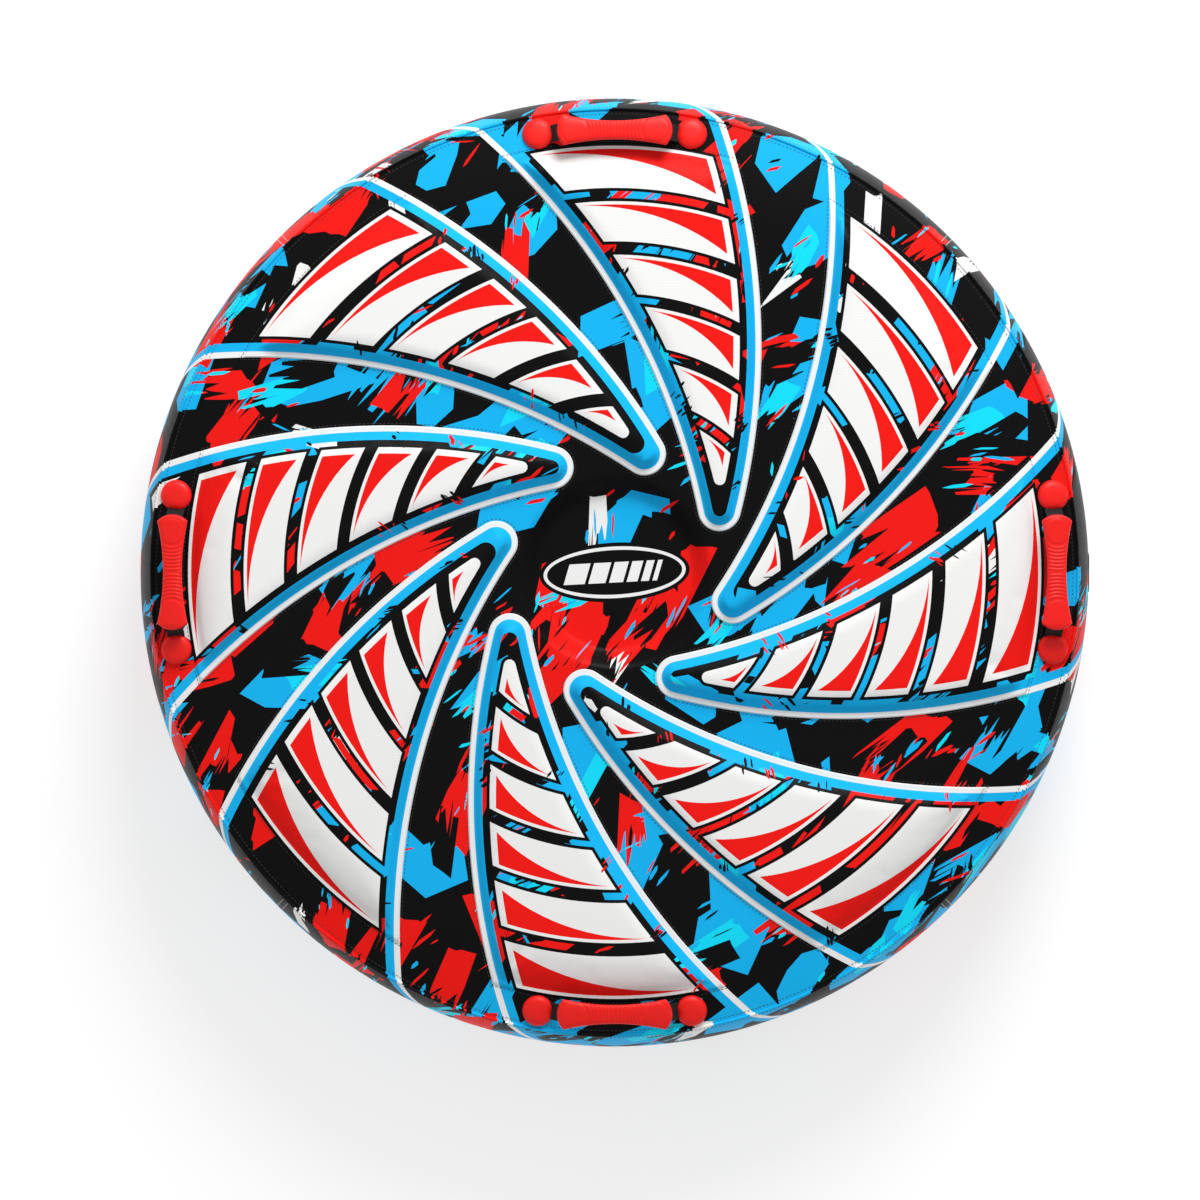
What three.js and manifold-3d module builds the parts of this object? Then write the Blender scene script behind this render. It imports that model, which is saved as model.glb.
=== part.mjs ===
// A 48 inch towable deck tube, lying flat, in millimetres. +Z points out of the deck, the origin is
// in the middle of the base, +Y points to the tow point and the zip is on the -Y side.
import * as THREE from 'three';
import { mergeVertices } from 'three/addons/utils/BufferGeometryUtils.js';
import Module from 'manifold-3d';

const wasm = await Module();
wasm.setup();

// ---- Driving dimensions -------------------------------------------------------------------------

const SIDE_RADIUS = 609.5; // widest point of the bulging side
const SIDE_BULGE_RADIUS = 188; // radius of the side's bulge, seen in section
const CREASE_RADIUS = 591; // seam between the deck and the side
const CREASE_Z = 210;
const BASE_CREASE_RADIUS = 572; // seam between the base and the side
const DECK_Z = 220; // flat middle of the deck
const CROWN_START = 470; // outside this radius the deck falls away towards its crease
const BASE_FLAT_RADIUS = 500; // the base is flat inside this radius

const DISH_FLOOR_RADIUS = 96;
const DISH_EDGE_RADIUS = 125;
const DISH_DEPTH = 22;

const COVER_THICKNESS = 1.5;
const FILM_THICKNESS = 1.5; // bladder film
const TOUCH_GAP = 0.3; // left between pieces that rest on each other

const BLADE_COUNT = 8;
const SWIRL_ARC_RADIUS = 879.6; // both edges of a blade follow arcs of this radius
const SWIRL_ARC_OFFSET = 756.2; // from the tube's axis to the centre of such an arc
const SWIRL_ARC_ANGLE = 157.46; // where that centre lies for the first blade, in degrees
const BLADE_ANGLE = 30; // the blade's second edge is its first edge turned by this, in degrees
const BLADE_MARGIN = 6; // the pad reaches this far outside the two arcs
const BLADE_NOSE_RADIUS = 27.5;
const PAD_THICKNESS = 16;
const PAD_SLOPE = 14; // width of the pad's sloping edge
const PAD_TAPER_START = 514; // the pad's outer end slopes down between these radii
const PAD_END_RADIUS = 547;

const HANDLE_RADIUS = 559; // from the tube's axis to the middle of a grip
const ANCHOR_SPACING = 196;
const ANCHOR_RADIUS = 19.8;
const ANCHOR_HEIGHT = 8.5;
const GRIP_LENGTH = 147;
const GRIP_END_WIDTH = 39;
const GRIP_WAIST_WIDTH = 24;
const GRIP_THICKNESS = 13;
const GRIP_CLEARANCE = 22; // between the deck and the grip's underside
const STRAP_WIDTH = 22;
const STRAP_THICKNESS = 2.2;
const STRAP_FOOT_Z = 8; // the handle tilts about a line at this height over the deck

const VALVE_BORE_RADIUS = 9.5; // the valve faces +X at the widest point of the side
const VALVE_CAP_RADIUS = 16.5;
const BLADDER_HOLE_RADIUS = 18;
const COVER_HOLE_RADIUS = 24;

const ZIP_Z = 60;
const ZIP_FROM = 223; // the zip's two ends, in degrees round the tube
const ZIP_TO = 317;
const ZIP_TAPE_WIDTH = 30;

const TOW_BAR_Z = 53;
const TOW_WEBBING_WIDTH = 38;
const TOW_RING_BAR = 5.4;

const FINE = 72; // facets round the tube for what shows
const COARSE = 36; // and for what is inside

const BLACK = 0x141414;
const RED = 0xff2018;
const CYAN = 0x18b4f0;
const PVC_BLUE = 0x2c4a78;
const STEEL = 0xb8bcc0;

// ---- Places on the tube's surface ---------------------------------------------------------------

const sideArcR = SIDE_RADIUS - SIDE_BULGE_RADIUS;
const sideArcZ = CREASE_Z - Math.sqrt(SIDE_BULGE_RADIUS ** 2 - (CREASE_RADIUS - sideArcR) ** 2);
const creaseAngle = Math.asin((CREASE_Z - sideArcZ) / SIDE_BULGE_RADIUS);
const baseCreaseAngle = -Math.acos((BASE_CREASE_RADIUS - sideArcR) / SIDE_BULGE_RADIUS);
const BASE_CREASE_Z = sideArcZ + SIDE_BULGE_RADIUS * Math.sin(baseCreaseAngle);
const VALVE_Z = sideArcZ;

const degrees = THREE.MathUtils.degToRad;

// Height of the deck's outer surface at a distance r from the axis.
function deckZ(r) {
  if (r <= DISH_FLOOR_RADIUS) return DECK_Z - DISH_DEPTH;
  if (r < DISH_EDGE_RADIUS) {
    const rise = (r - DISH_FLOOR_RADIUS) / (DISH_EDGE_RADIUS - DISH_FLOOR_RADIUS);
    return DECK_Z - DISH_DEPTH * (1 - rise);
  }
  const fall = Math.max(0, (r - CROWN_START) / (CREASE_RADIUS - CROWN_START));
  return DECK_Z - (DECK_Z - CREASE_Z) * fall ** 2;
}

// Angle by which the deck leans outward at a distance r from the axis.
function deckLean(r) {
  const fall = Math.max(0, (r - CROWN_START) / (CREASE_RADIUS - CROWN_START));
  return Math.atan((2 * (DECK_Z - CREASE_Z) * fall) / (CREASE_RADIUS - CROWN_START));
}

function baseZ(r) {
  const rise = Math.max(0, (r - BASE_FLAT_RADIUS) / (BASE_CREASE_RADIUS - BASE_FLAT_RADIUS));
  return BASE_CREASE_Z * rise ** 2;
}

// A point of the side's section: its angle on the bulge, and how far it stands off the surface.
function sidePoint(angle, standOff) {
  const radius = SIDE_BULGE_RADIUS + standOff;
  return new THREE.Vector2(sideArcR + radius * Math.cos(angle), sideArcZ + radius * Math.sin(angle));
}

const sideAngleAt = (z) => Math.asin((z - sideArcZ) / SIDE_BULGE_RADIUS);

function sideArc(fromAngle, toAngle, standOff, steps) {
  const points = [];
  for (let i = 0; i <= steps; i++) {
    points.push(sidePoint(THREE.MathUtils.lerp(fromAngle, toAngle, i / steps), standOff));
  }
  return points;
}

// Points of the deck's section from the axis outward, lowered by drop.
function deckProfile(lastRadius, drop, fromRadius = 0) {
  const crown = (step) => THREE.MathUtils.lerp(CROWN_START, lastRadius, step);
  const radii = [0, DISH_FLOOR_RADIUS, DISH_EDGE_RADIUS, CROWN_START, crown(1 / 3), crown(2 / 3)];
  const kept = radii.filter((r) => r > fromRadius);
  return [fromRadius, ...kept, lastRadius].map((r) => new THREE.Vector2(r, deckZ(r) - drop));
}

function baseProfile(lastRadius, lift) {
  const middle = (BASE_FLAT_RADIUS + lastRadius) / 2;
  return [0, BASE_FLAT_RADIUS, middle, lastRadius].map((r) => new THREE.Vector2(r, baseZ(r) + lift));
}

// ---- Making solids ------------------------------------------------------------------------------

// A solid of revolution about Z. The profile runs counter-clockwise, with r to the right, z up.
function revolve(profile, segments = FINE) {
  return new THREE.LatheGeometry(profile, segments).rotateX(Math.PI / 2);
}

// A ring whose section is the closed polygon between an outer and an inner line of points.
function revolveBetween(outer, inner, segments = FINE) {
  return revolve([...outer, ...[...inner].reverse(), outer[0]], segments);
}

function toSolid(geometry) {
  const bare = geometry.clone();
  bare.deleteAttribute('normal');
  bare.deleteAttribute('uv');
  const merged = mergeVertices(bare, 1e-4);
  const index = merged.index.array;
  const triangles = [];
  for (let i = 0; i < index.length; i += 3) {
    const [a, b, c] = [index[i], index[i + 1], index[i + 2]];
    if (a !== b && b !== c && c !== a) triangles.push(a, b, c);
  }
  const vertProperties = new Float32Array(merged.attributes.position.array);
  const triVerts = new Uint32Array(triangles);
  return new wasm.Manifold(new wasm.Mesh({ numProp: 3, vertProperties, triVerts }));
}

function toGeometry(solid) {
  const mesh = solid.getMesh();
  const geometry = new THREE.BufferGeometry();
  geometry.setAttribute('position', new THREE.BufferAttribute(mesh.vertProperties, 3));
  geometry.setIndex(new THREE.BufferAttribute(mesh.triVerts, 1));
  geometry.computeVertexNormals();
  return geometry;
}

// The part of a solid of revolution between two angles round the tube.
function sector(ring, fromDegrees, toDegrees) {
  const reach = 2 * SIDE_RADIUS;
  const wedge = new THREE.Shape();
  wedge.moveTo(0, 0);
  wedge.lineTo(reach * Math.cos(degrees(fromDegrees)), reach * Math.sin(degrees(fromDegrees)));
  wedge.lineTo(reach * Math.cos(degrees(toDegrees)), reach * Math.sin(degrees(toDegrees)));
  const prism = new THREE.ExtrudeGeometry(wedge, { depth: 2 * DECK_Z, bevelEnabled: false });
  return toGeometry(toSolid(ring).intersect(toSolid(prism.translate(0, 0, -DECK_Z / 2))));
}

// A strip lying on the side, between two heights over the floor and two stand-offs.
function sideStrip(fromZ, toZ, nearOff, farOff, steps) {
  const [low, high] = [sideAngleAt(fromZ), sideAngleAt(toZ)];
  return revolveBetween(sideArc(low, high, farOff, steps), sideArc(low, high, nearOff, steps));
}

function extrude(shape, depth, options = {}) {
  return new THREE.ExtrudeGeometry(shape, { depth, bevelEnabled: false, ...options });
}

function cylinderAlongX(radius, fromX, toX, z) {
  const cylinder = new THREE.CylinderGeometry(radius, radius, toX - fromX, 32);
  return cylinder.rotateZ(Math.PI / 2).translate((fromX + toX) / 2, 0, z);
}

// ---- Materials and the scene graph --------------------------------------------------------------

const finish = (color, roughness, metalness = 0) => () =>
  new THREE.MeshStandardMaterial({ color, roughness, metalness });

const nylon = finish(BLACK, 0.55);
const paddedPrint = finish(CYAN, 0.5);
const pvc = finish(PVC_BLUE, 0.35);
const redMoulding = finish(RED, 0.4);
const webbing = finish(BLACK, 0.8);
const blackMoulding = finish(BLACK, 0.4);
const steel = finish(STEEL, 0.25, 1);

const tube = new THREE.Group();

function add(name, geometry, material, parent = tube) {
  const mesh = new THREE.Mesh(geometry, material());
  mesh.name = name;
  parent.add(mesh);
  return mesh;
}

// A group on the deck: +X points away from the axis, +Y round the tube, +Z out of the deck.
function deckStation(angleDegrees, radius) {
  const turned = new THREE.Group();
  turned.rotation.z = degrees(angleDegrees);
  const leaning = new THREE.Group();
  leaning.position.set(radius, 0, deckZ(radius));
  leaning.rotation.y = deckLean(radius);
  turned.add(leaning);
  tube.add(turned);
  return leaning;
}

// A group on the side: +X points out of the surface, +Y round the tube, +Z up along the surface.
function sideStation(angleDegrees, z, standOff) {
  const turned = new THREE.Group();
  turned.rotation.z = degrees(angleDegrees);
  const leaning = new THREE.Group();
  const place = sidePoint(sideAngleAt(z), standOff);
  leaning.position.set(place.x, 0, place.y);
  leaning.rotation.y = -sideAngleAt(z);
  turned.add(leaning);
  tube.add(turned);
  return leaning;
}

// ---- Air chamber --------------------------------------------------------------------------------

const BLADDER_DROP = 4.6; // below the deck: the cover, a handle backing and two gaps
const BLADDER_LIFT = COVER_THICKNESS + 1.8;
const BLADDER_INSET = COVER_THICKNESS + 0.9;

function bladderSection(thickness) {
  const high = creaseAngle - 0.05;
  const low = baseCreaseAngle + 0.05;
  return [
    ...baseProfile(BASE_CREASE_RADIUS - 14, BLADDER_LIFT + thickness),
    ...sideArc(low, high, -BLADDER_INSET - thickness, 6),
    ...deckProfile(CREASE_RADIUS - 12, BLADDER_DROP + thickness).reverse(),
  ];
}

function addBladder() {
  const outside = toSolid(revolve(bladderSection(0), COARSE));
  const inside = toSolid(revolve(bladderSection(FILM_THICKNESS), COARSE));
  const hole = toSolid(cylinderAlongX(BLADDER_HOLE_RADIUS, 560, 620, VALVE_Z));
  add('bladder', toGeometry(outside.subtract(inside).subtract(hole)), pvc);
}

const chamberFloor = BLADDER_LIFT + FILM_THICKNESS + TOUCH_GAP;
const chamberDrop = BLADDER_DROP + FILM_THICKNESS + TOUCH_GAP;

function addIBeams() {
  const [inner, outer] = [150, CROWN_START - 5];
  const height = DECK_Z - chamberDrop - chamberFloor;
  for (let i = 0; i < BLADE_COUNT; i++) {
    const web = new THREE.BoxGeometry(outer - inner, 1.2, height);
    web.translate((outer + inner) / 2, 0, chamberFloor + height / 2);
    const mesh = add(`i_beam_${i + 1}`, web, pvc);
    mesh.rotation.z = degrees((360 / BLADE_COUNT) * (i + 0.5));
  }
}

function addCentreTie() {
  const top = deckZ(0) - chamberDrop;
  const wall = (radius) => [new THREE.Vector2(radius, chamberFloor), new THREE.Vector2(radius, top)];
  add('centre_tie', revolveBetween(wall(60), wall(60 - FILM_THICKNESS), 24), pvc);
}

// ---- Valve, facing +X at the widest point of the side -------------------------------------------

// A ring about the valve's axis, from a closed section of (distance from axis, x) points.
function valveTurning(points, segments = 18) {
  const profile = points.map(([r, x]) => new THREE.Vector2(r, x));
  const lathe = new THREE.LatheGeometry(profile, segments);
  return lathe.rotateZ(-Math.PI / 2).translate(0, 0, VALVE_Z);
}

const VALVE_BODY_RADIUS = 12.6;
const CAP_OUTER_X = SIDE_RADIUS - 0.5;
const COLLAR_X = SIDE_RADIUS - 5.5;
const FLANGE_X = SIDE_RADIUS - 8.5;
const BODY_END_X = SIDE_RADIUS - 21.5;

function addValve() {
  const flangeRadius = 26;
  const neck = VALVE_BODY_RADIUS + 0.4;
  const neckEnd = COLLAR_X - 1.5;
  add('valve_flange', valveTurning([
    [neck, FLANGE_X - 2], [flangeRadius, FLANGE_X - 2], [flangeRadius, FLANGE_X],
    [VALVE_CAP_RADIUS, FLANGE_X], [VALVE_CAP_RADIUS, neckEnd], [neck, neckEnd],
    [neck, FLANGE_X - 2],
  ]), pvc);
  add('valve_body', valveTurning([
    [VALVE_BORE_RADIUS, BODY_END_X], [VALVE_BODY_RADIUS, BODY_END_X],
    [VALVE_BODY_RADIUS, neckEnd + TOUCH_GAP], [VALVE_CAP_RADIUS, neckEnd + TOUCH_GAP],
    [VALVE_CAP_RADIUS, COLLAR_X], [VALVE_BORE_RADIUS, COLLAR_X], [VALVE_BORE_RADIUS, BODY_END_X],
  ]), blackMoulding);
  const flapX = BODY_END_X - 0.5;
  add('valve_flap', valveTurning([
    [0, flapX - 1.4], [VALVE_BODY_RADIUS - 1, flapX - 1.4], [VALVE_BODY_RADIUS - 1, flapX], [0, flapX],
  ]), blackMoulding);
  const plug = VALVE_BORE_RADIUS - TOUCH_GAP;
  const plugEnd = COLLAR_X - 10;
  add('valve_cap', valveTurning([
    [0, plugEnd], [plug, plugEnd], [plug, COLLAR_X + TOUCH_GAP],
    [VALVE_CAP_RADIUS, COLLAR_X + TOUCH_GAP], [VALVE_CAP_RADIUS, CAP_OUTER_X - 1],
    [VALVE_CAP_RADIUS - 1.5, CAP_OUTER_X], [0, CAP_OUTER_X],
  ]), redMoulding);
}

// ---- Cover --------------------------------------------------------------------------------------

const PIPING_RADIUS = 2;

function addPiping(name, radius, z) {
  const sides = 6;
  const section = [];
  for (let i = 0; i <= sides; i++) {
    const turn = (2 * Math.PI * i) / sides;
    section.push(new THREE.Vector2(radius + PIPING_RADIUS * Math.cos(turn),
      z + PIPING_RADIUS * Math.sin(turn)));
  }
  add(name, revolve(section), webbing);
}

const EYELET_ANGLES = [262, 278];
const EYELET_Z = 33;
const EYELET_HOLE_RADIUS = 4;

function addCover() {
  const clear = PIPING_RADIUS + TOUCH_GAP;
  const deckEnd = CREASE_RADIUS - clear;
  const deckOutside = deckProfile(deckEnd, 0);
  const deckInside = deckProfile(deckEnd, COVER_THICKNESS);
  add('top_cover', revolve([...deckInside, ...deckOutside.reverse()]), nylon);

  const baseEnd = BASE_CREASE_RADIUS - clear;
  const baseOutside = baseProfile(baseEnd, 0);
  const baseInside = baseProfile(baseEnd, COVER_THICKNESS);
  add('base_cover', revolve([...baseOutside, ...baseInside.reverse()]), nylon);

  const margin = clear / SIDE_BULGE_RADIUS;
  const [low, high] = [baseCreaseAngle + margin, creaseAngle - margin];
  const gusset = revolveBetween(sideArc(low, high, 0, 6), sideArc(low, high, -COVER_THICKNESS, 6));
  let cut = toSolid(gusset).subtract(toSolid(cylinderAlongX(COVER_HOLE_RADIUS, 580, 640, VALVE_Z)));
  for (const angle of EYELET_ANGLES) {
    const place = sidePoint(sideAngleAt(EYELET_Z), 0);
    const drill = new THREE.CylinderGeometry(EYELET_HOLE_RADIUS, EYELET_HOLE_RADIUS, 20, 12);
    drill.rotateZ(Math.PI / 2).rotateY(-sideAngleAt(EYELET_Z)).translate(place.x, 0, place.y);
    cut = cut.subtract(toSolid(drill.rotateZ(degrees(angle))));
  }
  add('side_gusset', toGeometry(cut), nylon);

  addPiping('top_piping', CREASE_RADIUS, CREASE_Z);
  addPiping('base_piping', BASE_CREASE_RADIUS, BASE_CREASE_Z);
}

function addDrainEyelets() {
  const ring = [[EYELET_HOLE_RADIUS, 0], [8, 0], [6, 1.4], [EYELET_HOLE_RADIUS, 1.4],
    [EYELET_HOLE_RADIUS, 0]];
  const profile = ring.map(([r, x]) => new THREE.Vector2(r, x));
  EYELET_ANGLES.forEach((angle, i) => {
    const eyelet = new THREE.LatheGeometry(profile, 12).rotateZ(-Math.PI / 2);
    add(`drain_eyelet_${i + 1}`, eyelet, steel, sideStation(angle, EYELET_Z, TOUCH_GAP + 0.1));
  });
}

// ---- Blade pads ---------------------------------------------------------------------------------

// The outline of the first blade: its two long arcs, joined by a round nose near the middle and by
// the arc of the pad's outer end. The blade lies inside the first arc and outside the second.
function bladeOutline() {
  const centre = (turn) => new THREE.Vector2(SWIRL_ARC_OFFSET, 0)
    .rotateAround(new THREE.Vector2(), degrees(SWIRL_ARC_ANGLE + turn));
  const [first, second] = [centre(0), centre(BLADE_ANGLE)];
  const firstRadius = SWIRL_ARC_RADIUS + BLADE_MARGIN;
  const secondRadius = SWIRL_ARC_RADIUS - BLADE_MARGIN;

  // The nose circle touches the first arc from inside and the second from outside.
  const toFirst = firstRadius - BLADE_NOSE_RADIUS;
  const toSecond = secondRadius + BLADE_NOSE_RADIUS;
  const between = second.clone().sub(first);
  const span = between.length();
  const along = (span ** 2 + toFirst ** 2 - toSecond ** 2) / (2 * span);
  const across = Math.sqrt(toFirst ** 2 - along ** 2);
  between.normalize();
  const nose = first.clone().addScaledVector(between, along)
    .addScaledVector(new THREE.Vector2(-between.y, between.x), across);

  const angleTo = (from, to) => Math.atan2(to.y - from.y, to.x - from.x);
  // Where an arc crosses the circle of the pad's outer end.
  const endPoint = (turn, arcRadius) => {
    const cosine = (SWIRL_ARC_OFFSET ** 2 + PAD_END_RADIUS ** 2 - arcRadius ** 2)
      / (2 * SWIRL_ARC_OFFSET * PAD_END_RADIUS);
    const angle = degrees(SWIRL_ARC_ANGLE + turn) - Math.acos(cosine);
    return new THREE.Vector2(PAD_END_RADIUS * Math.cos(angle), PAD_END_RADIUS * Math.sin(angle));
  };
  const firstEnd = endPoint(0, firstRadius);
  const secondEnd = endPoint(BLADE_ANGLE, secondRadius);
  const origin = new THREE.Vector2();

  const outline = new THREE.Shape();
  outline.absarc(first.x, first.y, firstRadius, angleTo(first, nose), angleTo(first, firstEnd), false);
  outline.absarc(0, 0, PAD_END_RADIUS, angleTo(origin, firstEnd), angleTo(origin, secondEnd), false);
  outline.absarc(second.x, second.y, secondRadius, angleTo(second, secondEnd),
    angleTo(second, nose), true);
  outline.absarc(nose.x, nose.y, BLADE_NOSE_RADIUS, angleTo(nose, second),
    angleTo(first, nose), false);
  return outline;
}

function addBladePads() {
  const body = 40;
  const bevelled = extrude(bladeOutline(), body, {
    bevelEnabled: true, bevelThickness: PAD_THICKNESS, bevelSize: PAD_SLOPE, bevelOffset: -PAD_SLOPE,
    bevelSegments: 1, curveSegments: 4,
  }).translate(0, 0, DECK_Z - body);
  // The space that the pads fill: it rests on the deck and slopes down at the outer end.
  const above = DECK_Z + PAD_THICKNESS + 1;
  const space = revolve([
    ...deckProfile(PAD_END_RADIUS, -TOUCH_GAP, DISH_EDGE_RADIUS + 1),
    new THREE.Vector2(PAD_END_RADIUS, deckZ(PAD_END_RADIUS) + 2),
    new THREE.Vector2(PAD_TAPER_START, DECK_Z + PAD_THICKNESS),
    new THREE.Vector2(PAD_TAPER_START - 2, above),
    new THREE.Vector2(DISH_EDGE_RADIUS + 1, above),
    new THREE.Vector2(DISH_EDGE_RADIUS + 1, deckZ(DISH_EDGE_RADIUS + 1) + TOUCH_GAP),
  ]);
  const pad = toGeometry(toSolid(bevelled).intersect(toSolid(space)));
  for (let i = 0; i < BLADE_COUNT; i++) {
    const mesh = add(`blade_pad_${i + 1}`, pad.clone(), paddedPrint);
    mesh.rotation.z = degrees((360 / BLADE_COUNT) * i);
  }
}

// ---- Handles ------------------------------------------------------------------------------------

function gripGeometry() {
  const corner = new THREE.Vector2(GRIP_END_WIDTH / 2, 63);
  const tip = GRIP_LENGTH / 2;
  // Control points that bring each curve's middle to the waist and to the tip.
  const waistControl = GRIP_WAIST_WIDTH - corner.x;
  const tipControl = 2 * tip - corner.y;
  const outline = new THREE.Shape();
  outline.moveTo(corner.x, -corner.y);
  outline.quadraticCurveTo(waistControl, 0, corner.x, corner.y);
  outline.quadraticCurveTo(0, tipControl, -corner.x, corner.y);
  outline.quadraticCurveTo(-waistControl, 0, -corner.x, -corner.y);
  outline.quadraticCurveTo(0, -tipControl, corner.x, -corner.y);
  const bevel = 2.5;
  return extrude(outline, GRIP_THICKNESS - 2 * bevel, {
    bevelEnabled: true, bevelThickness: bevel, bevelSize: bevel, bevelOffset: -bevel,
    bevelSegments: 1, curveSegments: 6,
  }).translate(0, 0, GRIP_CLEARANCE + bevel);
}

// The strap runs up from one anchor, under the grip and down to the other anchor.
function strapGeometry() {
  const foot = ANCHOR_SPACING / 2 - ANCHOR_RADIUS - 1;
  const top = GRIP_CLEARANCE - TOUCH_GAP;
  const shoulder = foot - 7;
  const t = STRAP_THICKNESS;
  const section = new THREE.Shape();
  section.moveTo(-foot, STRAP_FOOT_Z - 1);
  section.quadraticCurveTo(-foot, top, -shoulder, top);
  section.lineTo(shoulder, top);
  section.quadraticCurveTo(foot, top, foot, STRAP_FOOT_Z - 1);
  section.lineTo(foot - t, STRAP_FOOT_Z - 1);
  section.quadraticCurveTo(foot - t, top - t, shoulder - t, top - t);
  section.lineTo(-shoulder + t, top - t);
  section.quadraticCurveTo(-foot + t, top - t, -foot + t, STRAP_FOOT_Z - 1);
  const strap = extrude(section, STRAP_WIDTH, { curveSegments: 5 });
  // The section was drawn in (round the tube, up): turn it so that the width runs along X.
  return strap.translate(0, 0, -STRAP_WIDTH / 2).rotateX(Math.PI / 2).rotateZ(Math.PI / 2);
}

function anchorGeometry() {
  const [r, h] = [ANCHOR_RADIUS, ANCHOR_HEIGHT];
  const profile = [[0, 0], [r, 0], [r, h * 0.4], [r * 0.85, h * 0.75], [r * 0.5, h * 0.95], [0, h]];
  return revolve(profile.map(([x, z]) => new THREE.Vector2(x, z)), 18);
}

function addHandles() {
  const half = ANCHOR_SPACING / 2;
  const anchorRadius = Math.hypot(HANDLE_RADIUS, half);
  const anchorTurn = THREE.MathUtils.radToDeg(Math.atan2(half, HANDLE_RADIUS));
  const backingDrop = COVER_THICKNESS + TOUCH_GAP;
  const backing = revolveBetween(
    [[548, backingDrop + 2], [584, backingDrop + 2]].map(([r, drop]) => new THREE.Vector2(r, deckZ(r) - drop)),
    [[548, backingDrop], [584, backingDrop]].map(([r, drop]) => new THREE.Vector2(r, deckZ(r) - drop)),
  );
  for (let i = 0; i < 4; i++) {
    const angle = 90 * (i + 1);
    const name = `handle_${i + 1}`;
    const station = deckStation(angle, HANDLE_RADIUS);
    add(`${name}_grip`, gripGeometry(), redMoulding, station);
    add(`${name}_strap`, strapGeometry(), webbing, station);
    for (const [side, turn] of [['left', anchorTurn], ['right', -anchorTurn]]) {
      const place = deckStation(angle + turn, anchorRadius);
      const anchor = anchorGeometry().translate(0, 0, 2 * TOUCH_GAP);
      add(`${name}_anchor_${side}`, anchor, redMoulding, place);
    }
    const plate = sector(backing, angle - anchorTurn - 2.5, angle + anchorTurn + 2.5);
    add(`${name}_backing`, plate, blackMoulding);
  }
}

// ---- Zip round the lower part of the side, on -Y ------------------------------------------------

function addZip() {
  const half = ZIP_TAPE_WIDTH / 2;
  const tape = [TOUCH_GAP, TOUCH_GAP + 1.2];
  const coil = [tape[1] + TOUCH_GAP, tape[1] + TOUCH_GAP + 2.4];
  add('zip_tape', sector(sideStrip(ZIP_Z - half, ZIP_Z + half, ...tape, 2), ZIP_FROM, ZIP_TO), webbing);
  add('zip_coil', sector(sideStrip(ZIP_Z - 3, ZIP_Z + 3, ...coil, 1), ZIP_FROM + 1, ZIP_TO - 1),
    blackMoulding);

  const sliderAngle = ZIP_FROM + 3.5;
  const sliderOff = coil[1] + 0.4;
  const outline = new THREE.Shape();
  outline.moveTo(-9, -4);
  outline.lineTo(9, -6);
  outline.lineTo(9, 6);
  outline.lineTo(-9, 4);
  const slider = extrude(outline, 2.6).rotateX(Math.PI / 2).rotateZ(Math.PI / 2);
  add('zip_slider', slider, steel, sideStation(sliderAngle, ZIP_Z, sliderOff));

  const pull = new THREE.Shape();
  pull.moveTo(-2.5, 0);
  pull.lineTo(-4, -28);
  pull.absarc(0, -28, 4, Math.PI, 2 * Math.PI, false);
  pull.lineTo(2.5, 0);
  const hanging = extrude(pull, 1.6, { curveSegments: 4 }).rotateX(Math.PI / 2).rotateZ(Math.PI / 2);
  const turned = new THREE.Group();
  const slope = sidePoint(sideAngleAt(ZIP_Z), sliderOff + 2.6);
  turned.rotation.z = degrees(sliderAngle);
  add('zip_pull', hanging.translate(slope.x + 2.4, 0, slope.y + 2), steel, turned);
  tube.add(turned);
}

// ---- Tow point low on the side, on +Y -----------------------------------------------------------

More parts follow.
